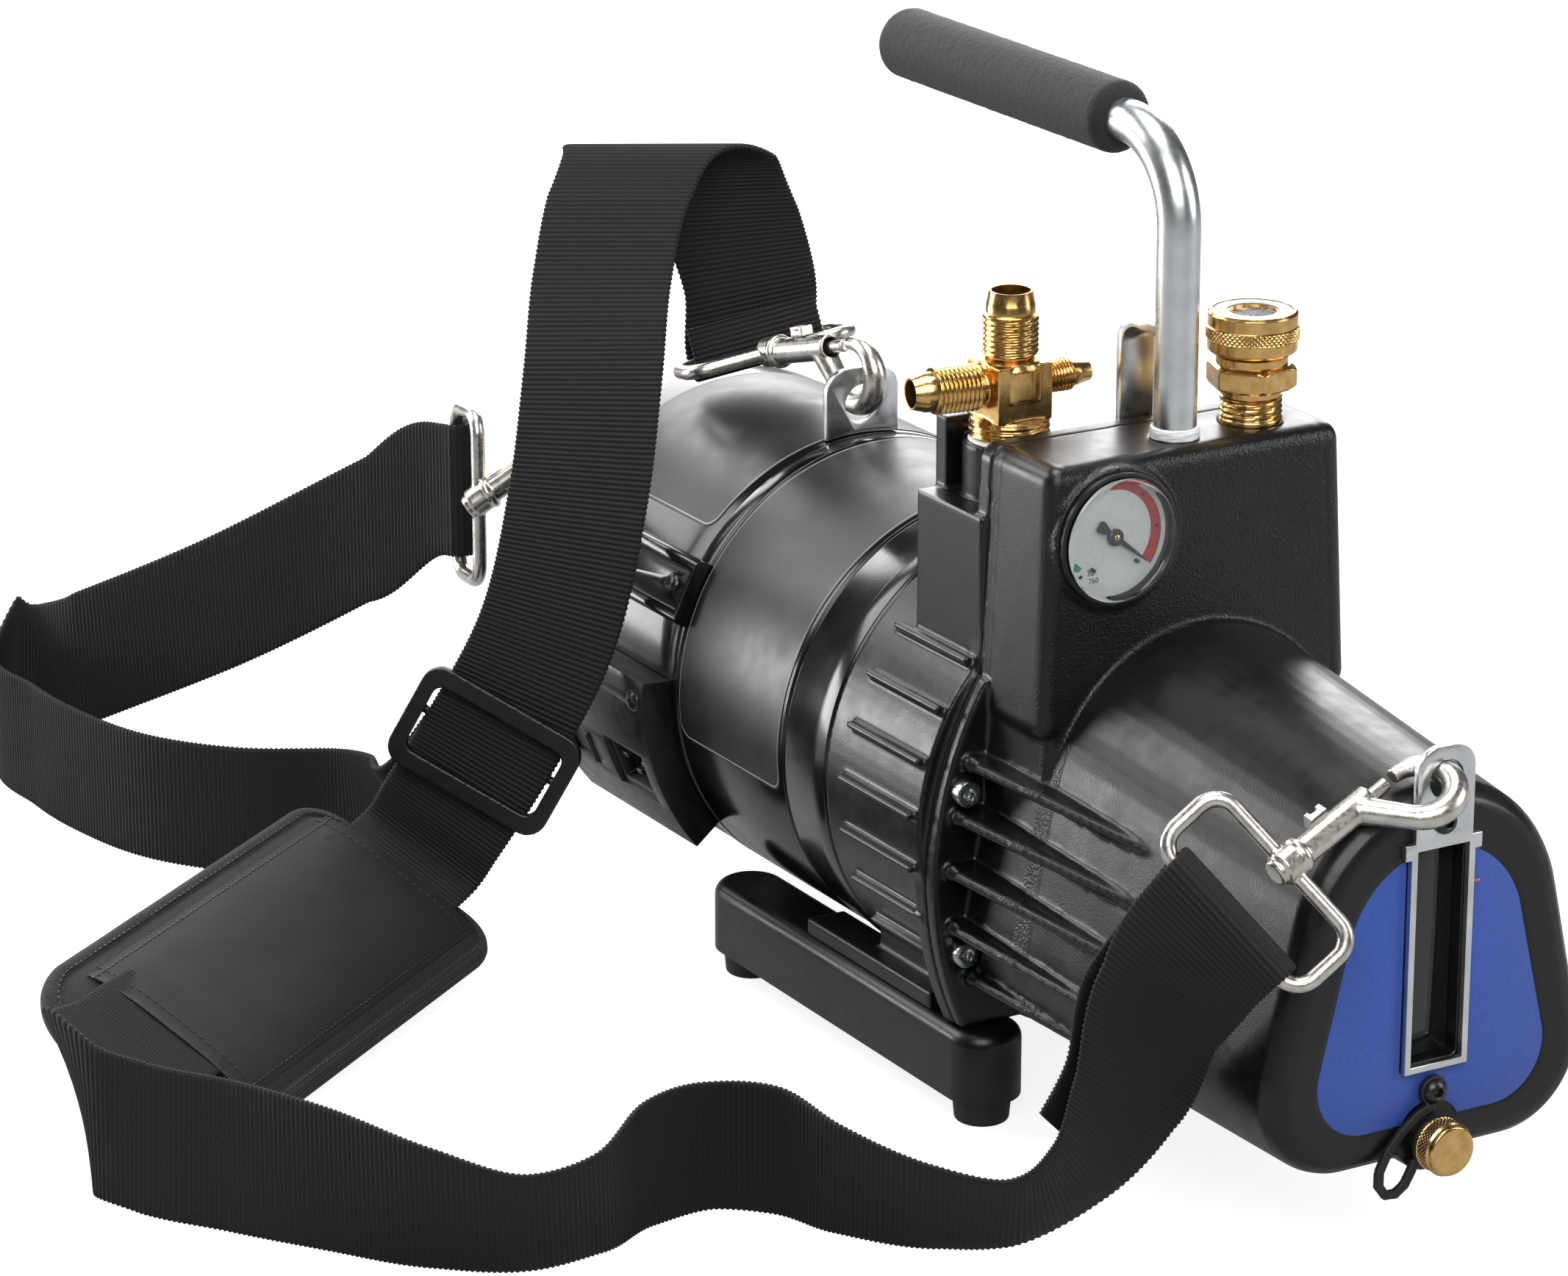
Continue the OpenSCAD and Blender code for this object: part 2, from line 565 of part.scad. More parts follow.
module exhaust_fitting() color([0.74, 0.57, 0.26]) up(exhaust_x, exhaust_y, 0) difference() {
  union() {
    up(0, 0, 215) cylinder(r = 10.6, h = 34);
    intersection() {
      up(0, 0, 248.5) rotate([0, 0, 12]) cylinder(r = 15.5, h = 8.5, $fn = 6);
      up(0, 0, 248.5) rotate_extrude() polygon([[0, 0], [13.6, 0], [16.2, 1.9], [16.2, 6.6], [13.6, 8.5], [0, 8.5]]);
    }
    up(0, 0, 256) cylinder(r = 12.1, h = 4);
    up(0, 0, 256) cylinder(r = 9.5, h = 12);
  }
  up(0, 0, 200) cylinder(r = 7.5, h = 100);
}

module exhaust_cap() color([0.74, 0.57, 0.26]) up(exhaust_x, exhaust_y, 261) difference() {
  rotate_extrude() polygon([[0, 0], [14.2, 0], [15, 0.8], [15, 4], [15.7, 4.6], [15.7, 8.6], [15, 9.2],
    [15, 13.2], [14.2, 14], [13.4, 14], [13.4, 13.5], [7.8, 13.5], [7.8, 12], [0, 12]]);
  translate([0, 0, -1]) cylinder(r = 9.9, h = 9);
}

module gauge_case() color([0.05, 0.05, 0.05]) fwd(gauge_x, box_y + 25, gauge_z) difference() {
  cylinder(r = gauge_bore - fit, h = 25.5);
  translate([0, 0, 4]) cylinder(r = lens_r - 0.4, h = 40);
  translate([0, 0, 22.5]) cylinder(r = lens_r + fit, h = 40);
}

module gauge_dial() color([0.95, 0.95, 0.94]) fwd(gauge_x, box_y + 7, gauge_z) pipe(lens_r - 0.5, 1.1, 1);

module gauge_needle() color([0.05, 0.05, 0.06]) fwd(gauge_x, box_y + 7, gauge_z) {
  cylinder(r = 1, h = 4);
  translate([0, 0, 2]) cylinder(r = 2.3, h = 1.2);
  rotate([0, 0, -38]) translate([0, 0, 2]) linear_extrude(0.7)
    polygon([[-6, -1], [0, -1.2], [15.5, -0.25], [15.5, 0.25], [0, 1.2], [-6, 1]]);
}

module gauge_lens() color([0.8, 0.85, 0.88, 0.3]) fwd(gauge_x, box_y + 2.5, gauge_z)
  rotate_extrude() polygon([[0, 0], [lens_r, 0], [lens_r, 3], [lens_r - 1.5, 4.4], [0, 4.4]]);

// Half section of a skid
module skid_half() {
  square([skid_r - 5, 25.5]);
  square([skid_r, 20.5]);
  translate([skid_r - 5, 20.5]) circle(r = 5);
}

module skids() color([0.06, 0.06, 0.065]) for (s = [-1, 1]) translate([s * skid_x, 0, 9.5]) {
  for (q = [0, 180]) rotate([0, 0, q]) translate([0, 78, 0]) rotate_extrude() skid_half();
  fwd(0, 78, 0) linear_extrude(156) {
    skid_half();
    mirror([1, 0]) skid_half();
  }
}

module rubber_feet() color([0.04, 0.04, 0.04]) for (s = [-1, 1], t = [-1, 1])
  translate([s * skid_x, t * 78, 0]) rotate_extrude()
    polygon([[0, 0], [8.6, 0], [9.4, 0.8], [10.2, 9.48], [0, 9.48]]);

// Stage ring with its bore lifted above the shaft axis
module stage_ring(y, h) color([0.5, 0.5, 0.52]) fwd(0, y, axis_z) difference() {
  cylinder(r = stage_r, h = h);
  translate([0, bore_lift, -1]) cylinder(r = stage_bore, h = h + 2);
}

module first_stage_ring() stage_ring(joint_y, 34);

module second_stage_ring() stage_ring(middle_end, 20);

module middle_plate() color([0.55, 0.55, 0.57]) fwd(0, first_end, axis_z) pipe(stage_r, pump_shaft_r + fit, 8);

module end_plate() color([0.55, 0.55, 0.57]) fwd(0, second_end, axis_z) difference() {
  cylinder(r = stage_r, h = 10);
  translate([0, 0, -1]) cylinder(r = pump_shaft_r + fit, h = 9);
}

module stage_rotor(y, h) fwd(0, y - run, axis_z) difference() {
  cylinder(r = rotor_r, h = h - 2 * run);
  for (s = [0, 180]) rotate([0, 0, s]) translate([slot_in, -vane_t / 2 - run, -1])
    cube([30, vane_t + 2 * run, h + 2]);
}

module pump_rotor() color([0.6, 0.61, 0.63]) union() {
  stage_rotor(joint_y, 34);
  stage_rotor(middle_end, 20);
  fwd(0, -46, axis_z) cylinder(r = pump_shaft_r, h = -46 - second_end + 7);
}

module vane(side, y, h) color([0.15, 0.13, 0.11]) fwd(0, y - 2 * run, axis_z) rotate([0, 0, side])
  translate([vane_in, -vane_t / 2, 0]) cube([rotor_r - run - vane_in, vane_t, h - 4 * run]);

module first_vane_left() vane(180, joint_y, 34);

module first_vane_right() vane(0, joint_y, 34);

module second_vane_left() vane(180, middle_end, 20);

module second_vane_right() vane(0, middle_end, 20);

module vane_springs() color([0.7, 0.7, 0.72]) for (y = [joint_y, middle_end], s = [0, 180], d = spring_y)
  fwd(0, y - d, axis_z) rotate([0, 0, s]) translate([slot_in, 0, 0]) rotate([0, 90, 0])
    pipe(1.8, 1.1, vane_in - slot_in - run);

module exhaust_valve() color([0.6, 0.61, 0.63]) difference() {
  for (y = [-93, -128]) translate([-9, y - 6, axis_z + stage_r - 2]) cube([18, 12, 6]);
  fwd(0, 0, axis_z) cylinder(r = stage_r + 0.02, h = 200);
}

module shaft_seal() color([0.08, 0.08, 0.08]) fwd(0, -60.5, axis_z) pipe(15 - fit, pump_shaft_r + fit, 9);

module shaft_coupling() color([0.45, 0.46, 0.48]) {
  fwd(0, -23, axis_z) pipe(24, shaft_r, 12);
  fwd(0, -46, axis_z) pipe(24, pump_shaft_r, 12);
  fwd(0, -35, axis_z) difference() {
    cylinder(r = 22, h = 11);
    translate([0, 0, -1]) cylinder(r = 10, h = 13);
  }
}

// Places a hook with its bow centre at the start of the list
module hook_place(h) translate(h[0]) rotate([0, h[1], h[2]]) children();

// Places the wire loop of a hook at its swivel, local x along the bars
module at_loop(h) translate(h[0] + swivel_at * [sin(h[1]) * cos(h[2]), sin(h[1]) * sin(h[2]), cos(h[1])])
  rotate([0, h[4], h[5]]) rotate([0, 0, h[6]]) children();

module snap_hook(h) {
  hook_place(h) {
    rotate([0, 0, h[3]]) {
      rotate([90, 0, 0]) rotate([0, 0, 150]) rotate_extrude(angle = 225, $fn = 48)
        translate([bow_r, 0]) circle(r = wire_r, $fn = 24);
      translate([-9.6, 0, 5]) cylinder(r = 3.6, h = 14, $fn = 32);
      difference() {
        union() {
          translate([-9.6, 0, 20]) rotate([0, 90, 0]) cylinder(r = 4.6, h = 20, $fn = 32);
          translate([-9.6, 0, 20]) sphere(r = 4.6, $fn = 32);
          translate([10.4, 0, 15]) cylinder(r = 4.4, h = 10, $fn = 32);
          translate([0, 0, 20]) cylinder(r = 5.4, h = 26, $fn = 32);
        }
        translate([10.4, 0, 0]) cylinder(r = 2.6, h = 40, $fn = 32);
      }
    }
    translate([0, 0, 45]) cylinder(r = 6.6, h = 3, $fn = 32);
    translate([0, 0, 47]) cylinder(r = 3, h = 9, $fn = 32);
    translate([0, 0, 54]) cylinder(r = 5, h = 2.5, $fn = 32);
  }
  at_loop(h) wire_loop();
}

// Rectangular wire loop, its near bar through the origin and its far bar along local z
module wire_loop() {
  depth = loop_depth;
  wire = loop_wire;
  bend = 5;
  sphere(r = 6, $fn = 32);
  for (s = [-1, 1]) mirror([flip(s), 0, 0]) {
    rotate([0, 90, 0]) cylinder(r = wire, h = loop_half - bend, $fn = 24);
    translate([loop_half, 0, bend]) cylinder(r = wire, h = depth - 2 * bend, $fn = 24);
    translate([loop_half - bend, 0, bend]) rotate([90, 0, 0]) rotate([0, 0, -90])
      rotate_extrude(angle = 90, $fn = 48) translate([bend, 0]) circle(r = wire, $fn = 24);
    translate([loop_half - bend, 0, depth - bend]) rotate([90, 0, 0])
      rotate_extrude(angle = 90, $fn = 48) translate([bend, 0]) circle(r = wire, $fn = 24);
  }
  translate([bend - loop_half, 0, depth]) rotate([0, 90, 0])
    cylinder(r = wire, h = 2 * (loop_half - bend), $fn = 24);
}

module gate(roll) rotate([0, 0, roll]) translate([10.4, 0, 0]) {
  translate([0, 0, 4.2]) cylinder(r = 2.3, h = 27.6, $fn = 32);
  translate([0, 0, 28.5]) rotate([0, 90, 0]) cylinder(r = 2, h = 6, $fn = 24);
  translate([5.4, 0, 28.5]) sphere(r = 3, $fn = 24);
}

module snap_hooks() color([0.62, 0.62, 0.6]) for (h = [hook_front, hook_top, hook_rear])
  snap_hook(h);

module front_gate() color([0.62, 0.62, 0.6]) hook_place(hook_front) gate(hook_front[3]);

module top_gate() color([0.62, 0.62, 0.6]) hook_place(hook_top) gate(hook_top[3]);

module rear_gate() color([0.62, 0.62, 0.6]) hook_place(hook_rear) gate(hook_rear[3]);

// Cubic curve through b and c
function curve(a, b, c, d, t) = 0.5 * (2 * b + (c - a) * t + (2 * a - 5 * b + 4 * c - d) * t * t
  + (3 * b - a - 3 * c + d) * t * t * t);
function route_row(r, i) = i < 0 ? 2 * r[0] - r[1] : i < len(r) ? r[i] : 2 * r[i - 1] - r[i - 2];
function smooth(r, k) = [for (i = [0:len(r) - 2], j = [0:k - 1])
  curve(route_row(r, i - 1), r[i], r[i + 1], route_row(r, i + 2), j / k), r[len(r) - 1]];
function unit(v) = v / norm(v);
function place(p) = [p[0], p[1], p[2]];
function across(p) = [p[3], p[4], p[5]];
function heading(s, i) = unit(place(s[min(i + 1, len(s) - 1)]) - place(s[max(i - 1, 0)]));
function square_to(w, t) = unit(w - (w * t) * t);
function web_corners(s, i) = let (t = heading(s, i), w = square_to(across(s[i]), t), n = cross(t, w),
  c = place(s[i])) [c + w * web_w / 2 + n * web_t / 2, c - w * web_w / 2 + n * web_t / 2,
  c - w * web_w / 2 - n * web_t / 2, c + w * web_w / 2 - n * web_t / 2];

// Webbing along a route
module webbing(route) {
  s = smooth(route, 4);
  n = len(s);
  points = [for (i = [0:n - 1], p = web_corners(s, i)) p];
  sides = [for (i = [0:n - 2], q = [0:3], h = [0, 1]) let (a = 4 * i + q, b = 4 * i + (q + 1) % 4)
    h == 0 ? [a, b, b + 4] : [a, b + 4, a + 4]];
  polyhedron(points, concat([[0, 3, 2], [0, 2, 1]], sides,
    [[4 * n - 4, 4 * n - 3, 4 * n - 2], [4 * n - 4, 4 * n - 2, 4 * n - 1]]), convexity = 10);
}

// Frame of the far bar of a hook's wire loop: place, leg direction, bar direction and third axis
function aim(tilt, head) = [sin(tilt) * cos(head), sin(tilt) * sin(head), cos(tilt)];
function leg_dir(h) = aim(h[4], h[5]);
function bar_dir(h) = cos(h[6]) * [cos(h[4]) * cos(h[5]), cos(h[4]) * sin(h[5]), -sin(h[4])]
  + sin(h[6]) * [-sin(h[5]), cos(h[5]), 0];
function bar_place(h) = h[0] + swivel_at * aim(h[1], h[2]) + loop_depth * leg_dir(h);
function bar_point(h, along, out) = bar_place(h) + along * leg_dir(h) + out * cross(leg_dir(h), bar_dir(h));
fold_r = loop_wire + 1.1 + web_t / 2;

// Rows of webbing folded round the bar between two angles, and the sewn tail of a fold
function fold(h, a0, a1, side) = [for (k = [0:4]) let (a = a0 + (a1 - a0) * k / 4)
  concat(bar_point(h, fold_r * cos(a), fold_r * sin(a)), side * bar_dir(h))];
function tail(h, along, out) = [concat(bar_point(h, along, out), bar_dir(h))];
function rest_of(r) = [for (i = [1:len(r) - 1]) r[i]];
function reversed(r) = [for (i = [len(r) - 1:-1:0]) r[i]];

module strap_front_band() color([0.05, 0.05, 0.05])
  webbing(concat(reversed(rest_of(front_return)), fold(hook_front, 250, 110, -1), rest_of(front_route)));

module strap_arch_band() color([0.05, 0.05, 0.05])
  webbing(concat(tail(hook_top, -fold_r, -14), fold(hook_top, 180, 20, 1), rest_of(arch_route)));

module strap_side_band() color([0.05, 0.05, 0.05])
  webbing(concat(tail(hook_rear, 14, fold_r), fold(hook_rear, 90, 270, 1), rest_of(side_route)));

module shoulder_pad() color([0.06, 0.06, 0.06]) translate([-227, 113.4, 30.5]) rotate([0, 30.5, -54]) hull()
  for (s = [-1, 1], t = [-1, 1]) translate([s * 28, t * 58, 0]) {
    translate([0, 0, -3]) cylinder(r = 18.5, h = 6, $fn = 32);
    translate([0, 0, -5]) cylinder(r = 15, h = 10, $fn = 32);
  }

// Three-bar slide, local z along the webbing and local y out of it
module slide_adjuster() color([0.05, 0.05, 0.05]) translate([-136, 137, 81])
  rotate([0, 151.4, 147.8]) rotate([0, 0, 7.2]) {
    rail = web_w / 2 + 4;
    for (s = [-1, 1]) translate([s * rail - 2.2, -4, -19]) cube([4.4, 9.5, 38]);
    for (z = [-16, 16]) translate([-rail, 3.6, z]) rotate([0, 90, 0]) cylinder(r = 2, h = 2 * rail, $fn = 24);
    translate([-rail, -3.6, 0]) rotate([0, 90, 0]) cylinder(r = 1.6, h = 2 * rail, $fn = 24);
  }

motor_shell();
motor_rear_cover();
end_shields();
stator_core();
stator_windings();
motor_rotor();
motor_shaft();
motor_bearings();
cooling_fan();
motor_labels();
side_cover();
small_screws();
terminal_box();
power_inlet();
rocker_switch();
motor_eyes();
bell_housing();
shaft_coupling();
shaft_seal();
first_stage_ring();
middle_plate();
second_stage_ring();
end_plate();
pump_rotor();
first_vane_left();
first_vane_right();
second_vane_left();
second_vane_right();
vane_springs();
exhaust_valve();
oil_case();
case_gasket();
case_screws();
sight_glass();
face_label();
front_eye();
drain_fitting();
drain_cap();
drain_tether();
handle_tube();
foam_grip();
hanger_hook();
intake_tee();
exhaust_fitting();
exhaust_cap();
gauge_case();
gauge_dial();
gauge_needle();
gauge_lens();
skids();
rubber_feet();
snap_hooks();
front_gate();
top_gate();
rear_gate();
strap_front_band();
strap_arch_band();
strap_side_band();
shoulder_pad();
slide_adjuster();
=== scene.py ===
# Rotary vane vacuum pump with carry handle, brass fittings, gauge and shoulder strap.
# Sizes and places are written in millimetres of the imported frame, and MM turns them into metres.

import math

import bmesh
import bpy
import numpy as np
from mathutils import Matrix, Vector, noise


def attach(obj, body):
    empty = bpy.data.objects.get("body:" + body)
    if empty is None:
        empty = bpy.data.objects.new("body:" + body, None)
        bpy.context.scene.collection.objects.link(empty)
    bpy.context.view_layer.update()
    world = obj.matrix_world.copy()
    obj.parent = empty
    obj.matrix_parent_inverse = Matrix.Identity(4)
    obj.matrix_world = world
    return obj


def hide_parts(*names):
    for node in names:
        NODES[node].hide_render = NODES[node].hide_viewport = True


MM = 0.001
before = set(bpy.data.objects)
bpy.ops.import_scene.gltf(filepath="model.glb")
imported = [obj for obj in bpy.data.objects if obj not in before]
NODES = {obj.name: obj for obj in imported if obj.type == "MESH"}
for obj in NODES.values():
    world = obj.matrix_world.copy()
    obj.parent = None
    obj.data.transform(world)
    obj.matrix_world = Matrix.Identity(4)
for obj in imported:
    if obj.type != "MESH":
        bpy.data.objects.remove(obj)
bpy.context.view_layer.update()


def turned(angle, axis):
    """Rotation by an angle in degrees about a named axis."""
    return Matrix.Rotation(math.radians(angle), 4, axis)


def arc(x, y, radius, angles):
    """Points at a radius round a centre, at angles in degrees."""
    return [(x + radius * math.cos(math.radians(a)), y + radius * math.sin(math.radians(a))) for a in angles]


# Driving sizes that several pieces share
AXIS_Z = 105.0
MOTOR_R = 83.0
COVER_R = 82.6
FACE_Y = -248.5
BOX_Y = -115.5
GAUGE = (-33.0, 211.5)
LENS_R = 21.0
DIAL_Y = BOX_Y + 6
NEEDLE_REST = -38
STOP_PINS = (-47, 231)
TEE = (-37.0, -54.0)
TEE_AXIS_Z = 250.0
EXHAUST = (33.0, -93.0)
TUBE_Y = -97.0
TUBE_R = 7.25
GRIP_Z = 337.0
GRIP_R = 12.25
DRAIN_Z = 43.0
TETHER_Z = 60.0
WEB_W = 50.0
WEB_T = 2.4
LABEL_T = 0.3
LABEL_CORNER = 6.0
RIB_PITCH = 1.85
RIB_RISE = 0.45

# Snap hooks: bow centre, tilt, heading and roll of the hook, then tilt, heading and turn of its wire loop
HOOKS = {
    "front": ((-10.3, -251, 162.8), 109.3, 175.1, -110, 129, 168.1, 26.2),
    "top": ((0, 106, 209), 93.4, 96.9, 180, 102.8, 74.4, -100.8),
    "rear": ((-53.9, 216, 174.7), 125.9, 171.5, 90, 96.2, 81.2, -178),
}
SWIVEL_AT = 50.0
LOOP_DEPTH = 25.0
LOOP_WIRE = 2.7
FOLD_R = LOOP_WIRE + 1.2 + WEB_T / 2
LOOP_HALF = 31.5
LOOP_BEND = 7.5
BOW_R = 11.0
BOW_WIRE = 3.9
TIP_WIRE = 3.0
BOLT_X = 10.4
BOLT_R = 2.3
THUMB_Z = 29.0
SWIVEL_Z = math.sqrt(SWIVEL_AT ** 2 - BOLT_X ** 2)

# Slide of the strap: frame, distance of the rails from its middle
SLIDE_FRAME = Matrix.Translation((-136, 137, 81)) @ turned(147.8, "Z") @ turned(151.4, "Y") @ turned(7.2, "Z")
SLIDE_RAIL = WEB_W / 2 + 4

# Strap routes: middle line and direction across the webbing
FRONT_ROUTE = [
    (-85, -241, 122, -0.54, 0.42, 0.68), (-92, -231, 101, -0.72, 0.05, 0.62),
    (-97, -220, 66, -0.79, -0.18, 0.58), (-107, -208, 39, -0.6, -0.45, 0.66),
    (-122, -194, 23.5, -0.34, -0.59, 0.73), (-140, -178, 23, -0.3, -0.5, 0.8),
    (-158, -146, 25, -0.2, -0.35, 0.92), (-165, -118, 26, -0.1, -0.17, 0.98),
    (-180, -104, 25.5, -0.1, -0.17, 0.98), (-205, -108, 26.5, -0.12, -0.2, 0.97),
    (-233, -124, 24.5, -0.25, -0.43, 0.87), (-257, -124, 23.5, -0.25, -0.43, 0.87),
    (-280, -102, 25, -0.15, -0.26, 0.95), (-300, -66, 26, 0, 0, 1), (-318, -33, 25.5, 0.1, 0.17, 0.98),
    (-338, -4, 26, 0.1, 0.17, 0.98), (-347, 15, 28.5, 0.02, 0.17, 0.98), (-344, 28, 32.5, -0.22, 0.45, 0.86),
    (-332.6, 34, 38, -0.48, 0.68, 0.55), (-320.3, 41.1, 36.7, -0.506, 0.697, 0.508),
    (-305.7, 51.9, 36.4, -0.506, 0.697, 0.508),
]
FRONT_RETURN = [
    (-79, -233, 120, -0.6, 0.3, 0.66), (-89, -223, 103, -0.72, 0.05, 0.62),
    (-96, -212, 68, -0.79, -0.18, 0.58), (-106, -204, 48, -0.68, -0.35, 0.64),
]
ARCH_ROUTE = [
    (4, 190, 224, 0.93, -0.28, 0.12), (-4, 195, 250, 0.92, -0.3, 0), (-20, 197, 272, 0.88, -0.4, 0),
    (-37, 192, 279, 0.86, -0.5, 0), (-55, 181, 266, 0.86, -0.5, 0), (-71, 166, 241, 0.86, -0.5, 0),
    (-85, 148, 211, 0.86, -0.5, 0), (-99, 134, 171, 0.86, -0.5, -0.1), (-116, 128, 123, 0.76, -0.5, -0.3),
    (-136, 137, 81, 0.66, -0.56, -0.45), (-149, 149, 52, 0.56, -0.66, -0.5),
    (-153.7, 156.3, 38.9, 0.506, -0.697, -0.508), (-162.2, 153.5, 35.2, 0.506, -0.697, -0.508),
]
SIDE_ROUTE = [
    (-112, 280, 121, 0.05, 0.1, 0.99), (-150, 327, 86, 0, 0.1, 0.99), (-190, 380, 53, 0, 0.1, 0.99),
    (-206, 405, 38.5, 0.1, 0.15, 0.98), (-216, 400, 31, 0, 0, 1), (-216, 365, 26.5, 0, 0, 1),
    (-213, 333, 26, 0, 0, 1), (-200, 288, 26, 0, 0, 1), (-178, 260, 26, 0, 0, 1), (-150, 237, 27.5, 0, 0, 1),
    (-141, 208, 33, -0.2, 0.2, 0.93), (-143, 178, 43, -0.5, 0.4, 0.7), (-141.5, 156, 58, -0.67, 0.57, 0.47),
    (-131.5, 143.5, 80, -0.67, 0.57, 0.47),
]

# Shoulder pad: frame, corners as x, y and radius, and the sleeve on it as low and high corner
PAD_FRAME = Matrix.Translation((-227, 113.4, 30.5)) @ turned(-54, "Z") @ turned(30.5, "Y")
PAD_CORNERS = [(-23.5, 65.5, 18.5), (29.5, 65.5, 18.5), (-9, -97, 33), (15, -97, 33)]
SLEEVE = ((-31.5, -96.5), (37.5, 73.5))
SLEEVE_LOW, SLEEVE_RISE = 4.7, 3.4

# Ribs of the oil case: height and half width at the flange, and the round end of each
RIB_ROOTS = [(131, 70), (113, 75), (94, 77), (74, 76), (55, 69)]
RIB_ROOT_Y = -84.3
RIB_END_R = 3.1

# Centres and radius of the round corners of the gauge box on one side
GAUGE_BOX_R = 6.0
GAUGE_BOX = [(55.3, -108.2, 150), (51.8, -106, 231), (56, -83, 150), (52, -83, 231)]


def colour(hex_value):
    """Linear colour of an sRGB hex value."""
    parts = [int(hex_value[i:i + 2], 16) / 255 for i in (0, 2, 4)]
    return tuple(c / 12.92 if c <= 0.04045 else ((c + 0.055) / 1.055) ** 2.4 for c in parts) + (1.0,)


def add(tree, kind, inputs=None, **settings):
    """One node with its settings, its input values and its links."""
    node = tree.nodes.new(kind)
    for name, value in settings.items():
        setattr(node, name, value)
    for key, value in (inputs or {}).items():
        if isinstance(value, bpy.types.NodeSocket):
            tree.links.new(value, node.inputs[key])
        else:
            node.inputs[key].default_value = value
    return node


# Materials. BAND_WIDTH is the width of one band of a wave texture at scale 1
BAND_WIDTH = 0.314


def start(name, base, roughness, sockets=None):
    """A material with its Principled shader set to a hex colour, a roughness and other sockets by name."""
    material = bpy.data.materials.new(name)
    material.use_nodes = True
    shader = material.node_tree.nodes["Principled BSDF"]
    shader.inputs["Base Color"].default_value = colour(base)
    shader.inputs["Roughness"].default_value = roughness
    for key, value in (sockets or {}).items():
        shader.inputs[key].default_value = value
    return material, material.node_tree, shader


def cloudy(tree, size, detail=3.0, stretch=(1, 1, 1), source="Object"):
    """Soft noise with features about size millimetres across, as a socket from 0 to 1."""
    place = add(tree, "ShaderNodeTexCoord").outputs[source]
    drawn = add(tree, "ShaderNodeMapping", {"Vector": place, "Scale": stretch})
    return add(tree, "ShaderNodeTexNoise", {"Vector": drawn.outputs[0], "Scale": 1 / (size * MM),
                                            "Detail": detail, "Roughness": 0.55}).outputs[0]


def vary(tree, shader, socket, low, high, amount):
    """Drives a shader socket between two values, or two hex colours, by an amount from 0 to 1."""
    eased = add(tree, "ShaderNodeMapRange", {"Value": amount, "From Min": 0.3, "From Max": 0.7})
    if isinstance(low, str):
        mixed = add(tree, "ShaderNodeMix", {0: eased.outputs[0], 6: colour(low), 7: colour(high)},
                    data_type="RGBA").outputs[2]
    else:
        mixed = add(tree, "ShaderNodeMapRange",
                    {"Value": eased.outputs[0], "To Min": low, "To Max": high}).outputs[0]
    tree.links.new(mixed, shader.inputs[socket])


def relief(tree, shader, height, depth):
    """Bump of a depth in millimetres from a height between 0 and 1."""
    bump = add(tree, "ShaderNodeBump", {"Height": height, "Distance": depth * MM, "Strength": 1.0})
    tree.links.new(bump.outputs["Normal"], shader.inputs["Normal"])


def surface(name, base, rough, sockets=None, tint=None, gloss=None, bumps=None):
    """A material varied by soft noise.

    tint is two hex colours, gloss two values of roughness and bumps a depth, each before what cloudy takes.
    """
    material, tree, shader = start(name, base, rough, sockets)
    if tint:
        vary(tree, shader, "Base Color", tint[0], tint[1], cloudy(tree, *tint[2:]))
    if gloss:
        vary(tree, shader, "Roughness", gloss[0], gloss[1], cloudy(tree, *gloss[2:]))
    if bumps:
        relief(tree, shader, cloudy(tree, *bumps[1:]), bumps[0])
    return material


def powder_coated_casting():
    """Die-cast aluminium under black powder coat: satin, with pebbled grain on the front of the gauge box."""
    material, tree, shader = start("powder_coated_casting", "0a0b0c", 0.33, {"Specular IOR Level": 0.4})
    vary(tree, shader, "Base Color", "08090a", "0d0e0f", cloudy(tree, 22))
    vary(tree, shader, "Roughness", 0.28, 0.38, cloudy(tree, 9))
    place = add(tree, "ShaderNodeSeparateXYZ", {0: add(tree, "ShaderNodeTexCoord").outputs["Object"]})
    front, behind = [
        add(tree, "ShaderNodeMapRange", {"Value": place.outputs["Y"], "From Min": (BOX_Y + none) * MM,
                                         "From Max": (BOX_Y + full) * MM}).outputs[0]
        for none, full in ((7, 5), (-3, -1))]
    on_box = add(tree, "ShaderNodeMath", {0: front, 1: behind}, operation="MULTIPLY")
    pebbles = add(tree, "ShaderNodeMath", {0: cloudy(tree, 0.9, 2.0), 1: on_box.outputs[0]},
                  operation="MULTIPLY")
    fine = add(tree, "ShaderNodeMath", {0: cloudy(tree, 0.7, 1.0), 1: 0.12}, operation="MULTIPLY")
    both = add(tree, "ShaderNodeMath", {0: pebbles.outputs[0], 1: fine.outputs[0]}, operation="ADD")
    relief(tree, shader, both.outputs[0], 0.3)
    return material


def label_film(name, dark, light):
    """Printed polyester film: even colour, satin, with a faint grain of the print."""
    return surface(name, dark, 0.38, None, (dark, light, 0.5, 2.0), (0.34, 0.44, 12))


def moulded_black(name, base, rough, grain):
    """Injection moulded black plastic: a fine spark-eroded texture of a grain size in millimetres."""
    return surface(name, base, rough, None, None, (rough - 0.06, rough + 0.06, 5), (0.03, grain, 2.0))


